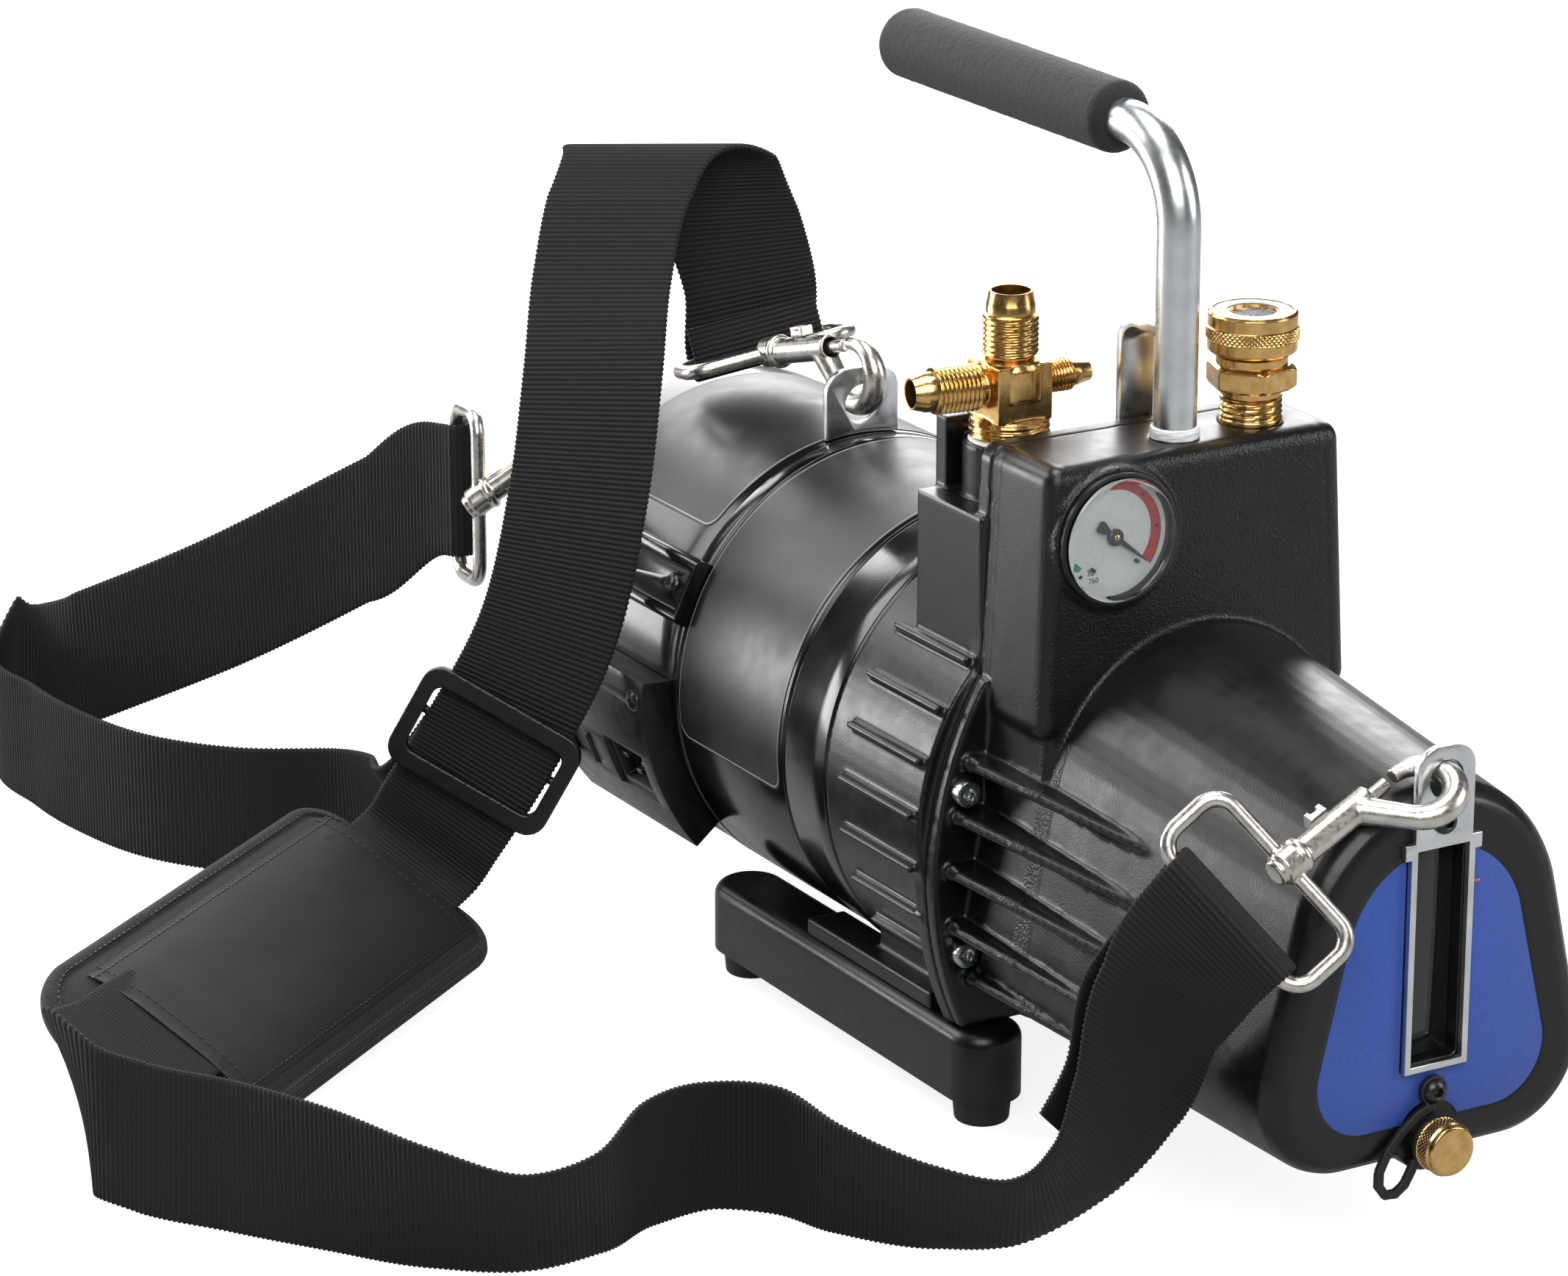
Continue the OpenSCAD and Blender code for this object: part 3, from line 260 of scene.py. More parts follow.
def foam_sleeve():
    """Closed-cell nitrile foam: charcoal, matt. Its cells are drawn 0.9 mm across, so that they show."""
    material, tree, shader = start("foam_sleeve", "1b1c1f", 0.88,
                                   {"Sheen Weight": 0.1, "Sheen Roughness": 0.6})
    place = add(tree, "ShaderNodeTexCoord").outputs["Object"]
    cells = add(tree, "ShaderNodeTexVoronoi", {"Vector": place, "Scale": 1 / (0.9 * MM)})
    vary(tree, shader, "Base Color", "0c0d0e", "191b1d", cloudy(tree, 0.9, 3.0))
    relief(tree, shader, cells.outputs["Distance"], 0.14)
    return material


def woven_nylon(name, dark, light, yarn):
    """Nylon webbing: near black, dry, with yarns of a width in millimetres running along the band."""
    material, tree, shader = start(name, dark, 0.7, {"Specular IOR Level": 0.3, "Sheen Weight": 0.05,
                                                     "Sheen Roughness": 0.4})
    spot = add(tree, "ShaderNodeTexCoord").outputs["UV"]
    warp = add(tree, "ShaderNodeTexWave",
               {"Vector": spot, "Scale": BAND_WIDTH / (yarn * MM), "Distortion": 0.6, "Detail": 1.0},
               bands_direction="X")
    fuzz = cloudy(tree, 0.5, 3.0, source="UV")
    vary(tree, shader, "Base Color", dark, light, fuzz)
    both = add(tree, "ShaderNodeMath", {0: warp.outputs[1], 1: fuzz}, operation="ADD")
    half = add(tree, "ShaderNodeMath", {0: both.outputs[0], 1: 0.5}, operation="MULTIPLY")
    relief(tree, shader, half.outputs[0], 0.12)
    return material


def pad_cloth(name, dark, light, cell):
    """Plain-woven nylon cover cloth: a basket of threads with a cell in millimetres, with painted shade in
    its hollows.
    """
    material, tree, shader = start(name, dark, 0.75, {"Specular IOR Level": 0.3, "Sheen Weight": 0.06,
                                                      "Sheen Roughness": 0.4})
    place = add(tree, "ShaderNodeTexCoord").outputs["UV"]
    threads = []
    for direction in ("X", "Y"):
        wave = add(tree, "ShaderNodeTexWave",
                   {"Vector": place, "Scale": BAND_WIDTH / (cell * MM), "Distortion": 0.4},
                   bands_direction=direction)
        threads.append(wave.outputs[1])
    weave_height_and_shade = add(tree, "ShaderNodeMath", {0: threads[0], 1: threads[1]}, operation="MULTIPLY")
    # Painted shade: the colour follows the weave's height, lighter on the raised threads and darker in the
    # hollows between them.
    vary(tree, shader, "Base Color", dark, light, weave_height_and_shade.outputs[0])
    relief(tree, shader, weave_height_and_shade.outputs[0], 0.3)
    return material


def printed(name, dark, light):
    """Screen-printed ink or enamel on a dial: flat colour with a slight unevenness of the layer."""
    return surface(name, dark, 0.45, None, (dark, light, 1.2, 2.0))


def bare_metal(name, dark, light, rough, grain):
    """Machined or pressed metal inside the pump, with tool marks of a grain in millimetres."""
    gloss = (rough - 0.07, rough + 0.07, grain, 2.0)
    return surface(name, dark, rough, {"Metallic": 1.0}, (dark, light, 6), gloss)


CASTING = powder_coated_casting()
# Stoved black enamel on drawn steel: glossier than the castings, with a faint orange peel
ENAMEL = surface("motor_enamel", "08090a", 0.18,
                 {"Specular IOR Level": 0.4, "Coat Weight": 0.1, "Coat Roughness": 0.12},
                 None, (0.15, 0.22, 14), (0.012, 1.6, 1.0))
GREY_FILM = label_film("black_label_film", "131416", "17181a")
BLUE_FILM = label_film("blue_label_film", "2c4592", "3654a4")
PALE_LINE = label_film("pale_label_line", "8d9094", "a3a6aa")
# Bright zinc plating on mild steel: cool silver with soft cloudy patches and fine drawing lines
ZINC = surface("zinc_plate", "c8cccd", 0.28, {"Metallic": 1.0}, ("c8ccce", "dadddf", 12, 2.0),
               (0.25, 0.33, 5, 2.0), (0.006, 0.8, 2.0, (1, 0.15, 0.15)))
# Free-cutting brass off the lathe: warm yellow, bright, with slight tarnish between cleaner patches
BRASS = surface("turned_brass", "cbab70", 0.2, {"Metallic": 1.0}, ("c39a58", "dbb77b", 4, 3.0),
                (0.15, 0.28, 1.6, 3.0), (0.006, 0.35, 1.0, (0.3, 0.3, 1)))
# Tumbled nickel plate on die-cast zinc: warm silver, soft reflections
NICKEL = surface("satin_nickel", "b5b0a7", 0.3, {"Metallic": 1.0}, ("b6b1a9", "d6d3cc", 6),
                 (0.24, 0.36, 1.5, 3.0))
BLACK_PLASTIC = moulded_black("moulded_polyamide", "0c0d0e", 0.36, 0.5)
BLACK_SCREW = moulded_black("black_oxide_screw", "101112", 0.3, 0.8)
# Moulded nitrile rubber: dull black with a bloom of grey
RUBBER = surface("black_rubber", "0d0d0d", 0.6, None, ("0a0a0a", "131313", 6), None, (0.02, 0.6, 2.0))
FOAM = foam_sleeve()
WEBBING = woven_nylon("strap_webbing", "090a0b", "17181a", 0.9)
PAD_BASE = pad_cloth("pad_nylon_cloth", "090a0b", "191a1d", 0.9)
PAD_SLEEVE = woven_nylon("pad_sleeve_twill", "0c0d0f", "1b1c1f", 0.7)
THREAD = printed("sewing_thread", "1a1b1d", "2b2c30")
# Polished cast acrylic: clear, with a faint cool edge
LENS = surface("clear_acrylic", "f4f8f8", 0.03, {"Transmission Weight": 1.0, "IOR": 1.49}, None,
               (0.02, 0.05, 12))
# Polycarbonate over the dark inside of the oil case: smoky, glossy
WINDOW = surface("sight_window", "2b2a28", 0.06, {"IOR": 1.58, "Transmission Weight": 0.55}, None,
                 (0.04, 0.1, 8))
DIAL_WHITE = printed("dial_enamel", "e6e8e6", "f2f3f1")
DIAL_RED = printed("dial_red_ink", "c22a2c", "d03a38")
DIAL_GREEN = printed("dial_green_ink", "2f8f4e", "3c9c58")
DIAL_BLACK = printed("dial_black_ink", "17181a", "222326")
LEVEL_ORANGE = printed("level_line_ink", "d8582a", "e36a38")
GREY_RING = printed("grey_cap_ring", "6f7880", "8a939a")
# White thread-seal tape: thin stretched film in ragged layers
TAPE = surface("thread_tape", "dfe2df", 0.6, None, ("c9cdc9", "eceeec", 0.8, 3.0, (1, 1, 3)), None,
               (0.12, 0.6, 3.0, (0.4, 0.4, 3)))
GASKET = moulded_black("gasket_sheet", "1d1d1c", 0.7, 0.6)
CORE_STEEL = bare_metal("laminated_core_steel", "6d7073", "8b8e91", 0.45, 0.6)
COPPER = bare_metal("enamelled_copper_wire", "8a4a22", "b0642e", 0.35, 0.7)
STEEL = bare_metal("ground_steel", "a4a8aa", "c2c5c6", 0.26, 0.4)
CAST_IRON = bare_metal("grey_cast_iron", "5c5d5e", "76777a", 0.5, 0.8)
ALUMINIUM = bare_metal("cast_aluminium", "9a9da0", "b6b9bb", 0.42, 1.0)
VANE = moulded_black("carbon_fibre_vane", "1f1d1b", 0.45, 0.7)

# Finish, material slot and names of the nodes whose shape stays as it is
INNER_FINISH = [
    (ALUMINIUM, "shield_aluminium", ("end_shields",)),
    (ALUMINIUM, "machined_steel", ("shaft_coupling",)),
    (CORE_STEEL, "core_steel", ("stator_core", "motor_rotor")),
    (COPPER, "copper_winding", ("stator_windings",)),
    (STEEL, "machined_steel",
     ("motor_shaft", "motor_bearings", "pump_rotor", "vane_springs", "exhaust_valve")),
    (BLACK_PLASTIC, "black_plastic", ("cooling_fan",)),
    (RUBBER, "black_rubber", ("shaft_seal",)),
    (CAST_IRON, "cast_ring", ("first_stage_ring", "middle_plate", "second_stage_ring", "end_plate")),
    (VANE, "vane_composite",
     ("first_vane_left", "first_vane_right", "second_vane_left", "second_vane_right")),
]
for finish, slot, names in INNER_FINISH:
    for name in names:
        NODES[name].data.materials.clear()
        NODES[name].data.materials.append(finish)


# Shapes are pairs of points, in millimetres, and faces


def together(*shapes):
    """Several shapes as one."""
    points, faces = [], []
    for more_points, more_faces in shapes:
        base = len(points)
        points += [tuple(p) for p in more_points]
        faces += [tuple(base + i for i in face) for face in more_faces]
    return points, faces


def moved(shape, place):
    """A shape carried by a matrix."""
    return [tuple(place @ Vector(p)) for p in shape[0]], shape[1]


def facing_front(x, y, z):
    """Local z points to the front, local y up."""
    return Matrix(((1, 0, 0, x), (0, 0, -1, y), (0, 1, 0, z), (0, 0, 0, 1)))


def upright(x, y, z):
    """Local z points up."""
    return Matrix.Translation((x, y, z))


def lathe(profile, steps=64, wave=None, loop=False):
    """Turns (radius, height) points about local z. wave(radius, height, angle) may shape a radius."""
    points, rings = [], []
    for radius, height in profile:
        first = len(points)
        if radius < 1e-6:
            points.append((0, 0, height))
        else:
            for j in range(steps):
                angle = 2 * math.pi * j / steps
                out = wave(radius, height, angle) if wave else radius
                points.append((out * math.cos(angle), out * math.sin(angle), height))
        rings.append(range(first, len(points)))
    pairs = list(zip(rings, rings[1:])) + ([(rings[-1], rings[0])] if loop else [])
    faces = []
    for low, high in pairs:
        for j in range(steps):
            k = (j + 1) % steps
            if len(low) == 1 and len(high) > 1:
                faces.append((low[0], high[k], high[j]))
            elif len(high) == 1 and len(low) > 1:
                faces.append((low[j], low[k], high[0]))
            elif len(low) > 1:
                faces.append((low[j], low[k], high[k], high[j]))
    return points, faces


def dense(profile, step):
    """A profile with extra points so that no stretch is longer than step."""
    rows = [profile[0]]
    for a, b in zip(profile, profile[1:]):
        count = max(1, math.ceil(math.dist(a, b) / step))
        rows += [(a[0] + (b[0] - a[0]) * i / count, a[1] + (b[1] - a[1]) * i / count)
                 for i in range(1, count + 1)]
    return rows


def thread(low, high, pitch, depth):
    """Wave of a screw thread between two heights, run out at both ends."""
    def wave(radius, height, angle):
        inside = min(height - low, high - height) / pitch
        if inside <= 0:
            return radius
        turn = (height / pitch - angle / (2 * math.pi)) % 1
        return radius - depth * abs(2 * turn - 1) * min(1, 2 * inside)
    return wave


def knurl(low, high, count, depth):
    """Wave of diamond knurling between two heights."""
    def wave(radius, height, angle):
        if not low < height < high:
            return radius
        rise = (height - low) * count / (2 * math.pi * radius)
        around = angle * count / (2 * math.pi)
        ridges = [abs(2 * ((around + s * rise) % 1) - 1) for s in (-1, 1)]
        return radius - depth * (1 - min(ridges))
    return wave


def flats(sides, turn=0.0):
    """Wave that turns a circle into a polygon whose flats lie at the given radius."""
    part = 2 * math.pi / sides
    def wave(radius, height, angle):
        return radius / math.cos((angle - turn) % part - part / 2)
    return wave


def skin(points, count, closed=False):
    """Shape through rings of count points each, with a flat face at both ends or closed on itself."""
    rings = len(points) // count
    faces = []
    for i in range(rings if closed else rings - 1):
        low, high = i * count, (i + 1) % rings * count
        for j in range(count):
            k = (j + 1) % count
            faces.append((low + j, low + k, high + k, high + j))
    if not closed:
        faces += [tuple(range(count))[::-1], tuple(range(len(points) - count, len(points)))]
    return points, faces


def tube(path, radius, sides=16, closed=False):
    """Round bar along points, with one radius or a radius for each point."""
    line = [Vector(p) for p in path]
    radii = radius if isinstance(radius, list) else [radius] * len(line)
    turns = [360 * j / sides for j in range(sides)]
    points = []
    side = None
    for i, p in enumerate(line):
        ahead = line[(i + 1) % len(line)] if closed or i + 1 < len(line) else p
        back = line[i - 1] if closed or i > 0 else p
        way = (ahead - back).normalized()
        if side is None:
            side = way.orthogonal().normalized()
        side = (side - way * side.dot(way)).normalized()
        other = way.cross(side)
        points += [tuple(p + u * side + v * other) for u, v in arc(0, 0, radii[i], turns)]
    return skin(points, sides, closed)


def block(low, high):
    """Box between two corners."""
    points = [(x, y, z) for x in (low[0], high[0]) for y in (low[1], high[1]) for z in (low[2], high[2])]
    return points, [(0, 1, 3, 2), (4, 6, 7, 5), (0, 4, 5, 1), (2, 3, 7, 6), (0, 2, 6, 4), (1, 5, 7, 3)]


def plate(outline, low, high):
    """Flat piece with a closed outline in local x and y, between two heights."""
    return skin([(x, y, z) for z in (low, high) for x, y in outline], len(outline))


def edited(mesh, *steps):
    """A new mesh after a row of bmesh steps."""
    work = bmesh.new()
    work.from_mesh(mesh)
    for step in steps:
        step(work)
    result = bpy.data.meshes.new(mesh.name)
    work.to_mesh(result)
    work.free()
    return result


def merge(gap):
    """Step that merges points closer than a gap in metres."""
    return lambda work: bmesh.ops.remove_doubles(work, verts=work.verts, dist=gap)


def face_out(work):
    """Step that turns all faces outwards."""
    bmesh.ops.recalc_face_normals(work, faces=work.faces)


def mesh_of(name, shape, place=None):
    """Mesh in metres from a shape, doubles merged and faces turned outwards."""
    carried = moved(shape, place) if place else shape
    mesh = bpy.data.meshes.new(name)
    mesh.from_pydata([Vector(p) * MM for p in carried[0]], [], carried[1])
    return edited(mesh, merge(1e-7), face_out)


def settle(name, mesh, finish, body="pump", stands_for=(), sharp=38):
    """A finished piece: smooth up to an angle, with its material, body and the nodes it stands for."""
    mesh.materials.clear()
    mesh.materials.append(finish)
    mesh.shade_smooth()
    mesh.set_sharp_from_angle(angle=math.radians(sharp))
    piece = bpy.data.objects.new(name, mesh)
    bpy.context.scene.collection.objects.link(piece)
    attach(piece, body)
    if stands_for:
        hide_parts(*stands_for)
    return piece


def make(name, shape, finish, place=None, body="pump", stands_for=(), sharp=38):
    """A finished piece from a shape."""
    return settle(name, mesh_of(name, shape, place), finish, body, stands_for, sharp)


def evaluated(data, dress=None):
    """The plain mesh of a data block on a passing object, after what dress adds to that object."""
    holder = bpy.data.objects.new("work", data)
    bpy.context.scene.collection.objects.link(holder)
    if dress:
        dress(holder)
    graph = bpy.context.evaluated_depsgraph_get()
    result = bpy.data.meshes.new_from_object(holder.evaluated_get(graph), depsgraph=graph)
    bpy.data.objects.remove(holder)
    return result


def worked(mesh, *steps):
    """The mesh after a row of modifiers, each a kind and its settings."""
    def dress(holder):
        for kind, settings in steps:
            modifier = holder.modifiers.new(kind.lower(), kind)
            for key, value in settings.items():
                setattr(modifier, key, value)
    return evaluated(mesh, dress)


def copy_of(node):
    """The mesh of a node with its loose triangles merged."""
    return edited(NODES[node].data, merge(2e-6))


def cast(name, mesh, voxel, passes, finish, body="pump", stands_for=(), most=150000, cut=None):
    """Casting or moulding: rebuilt on a fine voxel grid and eased, so that edges and inner corners are round.

    A cut mesh is taken away afterwards and leaves a machined edge.
    """
    eased = worked(mesh, ("REMESH", {"mode": "VOXEL", "voxel_size": voxel * MM}),
                   ("SMOOTH", {"factor": 0.5, "iterations": passes}))
    triangles = 2 * len(eased.polygons)
    if triangles > most:
        eased = worked(eased, ("DECIMATE", {"ratio": most / triangles}))
    if cut:
        tool = bpy.data.objects.new("cut", cut)
        bpy.context.scene.collection.objects.link(tool)
        eased = worked(eased, ("BOOLEAN", {"operation": "DIFFERENCE", "object": tool, "solver": "EXACT"}))
        bpy.data.objects.remove(tool)
    return settle(name, eased, finish, body, stands_for, 60)


def edged(node, width, finish, body="pump"):
    """A node's shape with a small bevel of a width in millimetres on its edges."""
    def flatten(work):
        bmesh.ops.dissolve_limit(work, angle_limit=math.radians(0.6), verts=work.verts, edges=work.edges)
    eased = worked(edited(copy_of(node), flatten), ("BEVEL", {
        "width": width * MM, "segments": 2, "limit_method": "ANGLE", "angle_limit": math.radians(30),
        "harden_normals": False}))
    return settle(node + "_piece", eased, finish, body, (node,), 32)


def grown(seed_mesh, tree, values):
    """The plain mesh that a Geometry Nodes tree makes from a seed mesh, with its named inputs set."""
    def dress(holder):
        modifier = holder.modifiers.new("grow", "NODES")
        modifier.node_group = tree
        for item in tree.interface.items_tree:
            if item.item_type == "SOCKET" and item.in_out == "INPUT" and item.name in values:
                modifier[item.identifier] = values[item.name]
    return evaluated(seed_mesh, dress)


def new_tree(name, inputs):
    """A Geometry Nodes tree with a geometry socket at each end and named inputs."""
    tree = bpy.data.node_groups.new(name, "GeometryNodeTree")
    tree.interface.new_socket("Geometry", in_out="INPUT", socket_type="NodeSocketGeometry")
    for label, kind in inputs:
        tree.interface.new_socket(label, in_out="INPUT", socket_type=kind)
    tree.interface.new_socket("Geometry", in_out="OUTPUT", socket_type="NodeSocketGeometry")
    return tree, add(tree, "NodeGroupInput").outputs


def close_tree(tree, geometry, material):
    """Ends a tree in Realize Instances and Set Material."""
    real = add(tree, "GeometryNodeRealizeInstances", {0: geometry})
    painted = add(tree, "GeometryNodeSetMaterial", {0: real.outputs[0], "Material": material})
    add(tree, "NodeGroupOutput", {0: painted.outputs[0]})
    return tree


def heads_tree():
    """Repeats one head on every point, turned to the point's own direction."""
    tree, given = new_tree("screw_heads", [("Head", "NodeSocketObject"), ("Material", "NodeSocketMaterial")])
    head = add(tree, "GeometryNodeObjectInfo", {"Object": given["Head"]})
    facing = add(tree, "GeometryNodeInputNamedAttribute", {"Name": "facing"}, data_type="FLOAT_VECTOR")
    turn = add(tree, "FunctionNodeAlignRotationToVector", {"Vector": facing.outputs[0]}, axis="Z")
    placed = add(tree, "GeometryNodeInstanceOnPoints",
                 {"Points": given["Geometry"], "Instance": head.outputs["Geometry"],
                  "Rotation": turn.outputs[0]})
    return close_tree(tree, placed.outputs[0], given["Material"])


def stitches_tree():
    """Stitches of a length and thickness at a pitch along a seam line."""
    tree, given = new_tree("stitches", [("Pitch", "NodeSocketFloat"), ("Length", "NodeSocketFloat"),
                                        ("Thickness", "NodeSocketFloat"), ("Material", "NodeSocketMaterial")])
    seam = add(tree, "GeometryNodeMeshToCurve", {0: given["Geometry"]})
    steps = add(tree, "GeometryNodeResampleCurve", {"Curve": seam.outputs[0], "Length": given["Pitch"]},
                mode="LENGTH")
    along = add(tree, "FunctionNodeAlignRotationToVector",
                {"Vector": add(tree, "GeometryNodeInputTangent").outputs[0]}, axis="Z")
    bead = add(tree, "GeometryNodeMeshUVSphere", {"Segments": 6, "Rings": 5, "Radius": 0.5})
    thick = given["Thickness"]
    size = add(tree, "ShaderNodeCombineXYZ", {0: thick, 1: thick, 2: given["Length"]})
    placed = add(tree, "GeometryNodeInstanceOnPoints",
                 {"Points": steps.outputs[0], "Instance": bead.outputs[0], "Rotation": along.outputs[0],
                  "Scale": size.outputs[0]})
    return close_tree(tree, placed.outputs[0], given["Material"])


def ribs_tree():
    """Cross ribs of a pitch and rise along a band, from the length run at every point."""
    tree, given = new_tree("webbing_ribs", [("Pitch", "NodeSocketFloat"), ("Rise", "NodeSocketFloat"),
                                            ("Material", "NodeSocketMaterial")])
    run = add(tree, "GeometryNodeInputNamedAttribute", {"Name": "run"}, data_type="FLOAT")
    turns = add(tree, "ShaderNodeMath", {0: run.outputs[0], 1: given["Pitch"]}, operation="DIVIDE")
    angle = add(tree, "ShaderNodeMath", {0: turns.outputs[0], 1: 2 * math.pi}, operation="MULTIPLY")
    wave = add(tree, "ShaderNodeMath", {0: angle.outputs[0]}, operation="COSINE")
    lift = add(tree, "ShaderNodeMath", {0: wave.outputs[0], 1: given["Rise"]}, operation="MULTIPLY")
    half = add(tree, "ShaderNodeMath", {0: lift.outputs[0], 1: 0.5}, operation="MULTIPLY")
    normal = add(tree, "GeometryNodeInputNormal").outputs[0]
    offset = add(tree, "ShaderNodeVectorMath", {0: normal, "Scale": half.outputs[0]}, operation="SCALE")
    raised = add(tree, "GeometryNodeSetPosition",
                 {"Geometry": given["Geometry"], "Offset": offset.outputs[0]})
    return close_tree(tree, raised.outputs[0], given["Material"])


HEADS = heads_tree()
STITCHES = stitches_tree()
RIBS = ribs_tree()


def screws(name, shape, spots, finish, stands_for=()):
    """One head shape repeated at spots, each a place and the direction it faces."""
    head = bpy.data.objects.new(name + "_head", mesh_of(name + "_head", shape))
    bpy.context.scene.collection.objects.link(head)
    seeds = bpy.data.meshes.new(name + "_spots")
    seeds.from_pydata([Vector(place) * MM for place, _ in spots], [], [])
    facing = seeds.attributes.new("facing", "FLOAT_VECTOR", "POINT")
    facing.data.foreach_set("vector", [c for _, way in spots for c in way])
    mesh = grown(seeds, HEADS, {"Head": head, "Material": finish})
    bpy.data.objects.remove(head)
    return settle(name, mesh, finish, "pump", stands_for)


def stitched(name, seams, pitch, length, thickness, finish):
    """Stitches along seam lines of points in millimetres."""
    points, edges = [], []
    for seam in seams:
        edges += [(len(points) + i, len(points) + i + 1) for i in range(len(seam) - 1)]
        points += [Vector(p) * MM for p in seam]
    line = bpy.data.meshes.new(name)
    line.from_pydata(points, edges, [])
    mesh = grown(line, STITCHES, {"Pitch": pitch * MM, "Length": length * MM, "Thickness": thickness * MM,
                                  "Material": finish})
    return settle(name, mesh, finish)


# Castings, motor and base


def bore_plug(low, high, radius):
    """Cylinder along the gauge's axis between two places along Y."""
    return mesh_of("plug", lathe([(0, 0), (radius, 0), (radius, high - low), (0, high - low)], 128),
                   facing_front(GAUGE[0], high, GAUGE[1]))


def joined(meshes, name):
    """Several meshes as one."""
    work = bmesh.new()
    for mesh in meshes:
        work.from_mesh(mesh)
    result = bpy.data.meshes.new(name)
    work.to_mesh(result)
    work.free()
    return result


def belted(balls):
    """Convex skin round balls given as x, y, z and radius."""
    work = bmesh.new()
    for x, y, z, r in balls:
        for height, ring in arc(z, 0, r, range(0, 181, 15)):
            for spot in arc(x, y, ring, range(0, 360, 15)):
                work.verts.new(Vector((*spot, height)) * MM)
    inside = bmesh.ops.convex_hull(work, input=work.verts)["geom_interior"]
    spare = [part for part in inside if isinstance(part, bmesh.types.BMVert)]
    bmesh.ops.delete(work, geom=spare, context="VERTS")
    mesh = bpy.data.meshes.new("belted")
    work.to_mesh(mesh)
    work.free()
    return mesh


def housings():
    """Oil case with the sides of its gauge box and round rib ends, bell, motor covers, skids and feet."""
    cheeks = [belted([(side * x, y, z, GAUGE_BOX_R) for x, y, z in GAUGE_BOX]) for side in (-1, 1)]
    end = lathe(arc(0, 0, RIB_END_R, range(-90, 91, 15)), 24)
    ends = [moved(end, upright(side * (half - 0.8), RIB_ROOT_Y, z))
            for z, half in RIB_ROOTS for side in (-1, 1)]
    plug = bore_plug(BOX_Y + 1.6, BOX_Y + 24, 24)
    case = joined([copy_of("oil_case"), plug, mesh_of("rib_ends", together(*ends))] + cheeks, "case")
    cast("oil_case_casting", case, 0.85, 4, CASTING, stands_for=("oil_case",), most=190000,
         cut=bore_plug(BOX_Y - 20, BOX_Y + 26, 22.6))
    cast("bell_casting", copy_of("bell_housing"), 0.8, 3, CASTING,
         stands_for=("bell_housing",), most=190000)
    edged("case_gasket", 0.1, GASKET)
    edged("motor_shell", 0.3, ENAMEL)
    edged("motor_rear_cover", 0.3, ENAMEL)
    edged("side_cover", 0.6, ENAMEL)
    edged("terminal_box", 0.8, BLACK_PLASTIC)
    edged("power_inlet", 0.3, BLACK_PLASTIC)
    edged("rocker_switch", 0.5, BLACK_PLASTIC, "rocker_switch")
    edged("skids", 0.4, CASTING)
    edged("rubber_feet", 0.4, RUBBER)
    edged("case_screws", 0.3, STEEL)


def round_corners(half_x, low, high, bend):
    """Closed outline of a rectangle with round corners."""
    rim = []
    for x, y, turn in ((half_x - bend, high - bend, 0), (bend - half_x, high - bend, 90),
                       (bend - half_x, low + bend, 180), (half_x - bend, low + bend, 270)):
        rim += arc(x, y, bend, range(turn, turn + 91, 10))
    return rim


def wrapped_sheet(radius, y0, y1, a0, a1, columns=120):
    """Thin sheet with round corners wrapped round the shaft axis between two angles."""
    length = math.radians(a1 - a0) * radius
    points = []
    for i in range(columns + 1):
        along = length * 0.5 * (1 - math.cos(math.pi * i / columns))
        short = max(0, LABEL_CORNER - min(along, length - along))
        cut = LABEL_CORNER - math.sqrt(max(0, LABEL_CORNER ** 2 - short ** 2))
        angle = math.radians(a0) + along / radius
        rows = [y0 + cut + (y1 - y0 - 2 * cut) * j / 4 for j in range(5)]
        for r, ys in ((radius, rows), (radius + LABEL_T, rows[::-1])):
            points += [(r * math.cos(angle), y, AXIS_Z + r * math.sin(angle)) for y in ys]
    return skin(points, 10)


def sheet_border(radius, y0, y1, a0, a1, inset=0.8, width=0.45, rise=0.06):
    """Thin line along the edge of a wrapped sheet."""
    half = math.radians(a1 - a0) * radius / 2
    rim = round_corners(half - inset, y0 + inset, y1 - inset, LABEL_CORNER - inset)
    middle = Vector((0, (y0 + y1) / 2))
    points = []
    for p, q in zip(rim, rim[1:] + rim[:1]):
        count = max(1, int(math.dist(p, q) / 2))
        for i in range(count):
            spot = Vector(p).lerp(Vector(q), i / count)
            inner = spot + width * (middle - spot).normalized()
            for (u, y), lift in ((spot, 0), (spot, rise), (inner, rise), (inner, 0)):
                angle = math.radians((a0 + a1) / 2) + u / radius
                r = radius + lift
                points.append((r * math.cos(angle), y, AXIS_Z + r * math.sin(angle)))
    return skin(points, 4, True)


def labels():
    """Bare sheets on the motor, given as radius, two places along Y and two angles, and on the front face."""
    sheets = [(MOTOR_R + 0.02, 19, 89.5, -10, 190), (COVER_R + 0.02, 104, 191.5, 42, 138)]
    films = [wrapped_sheet(*sheet) for sheet in sheets]
    borders = [sheet_border(radius + LABEL_T, *reach) for radius, *reach in sheets]
    make("motor_label_sheets", together(*films), GREY_FILM, stands_for=("motor_labels",))
    make("motor_label_borders", together(*borders), PALE_LINE)
    edged("face_label", 0.1, BLUE_FILM)


# Zinc pieces


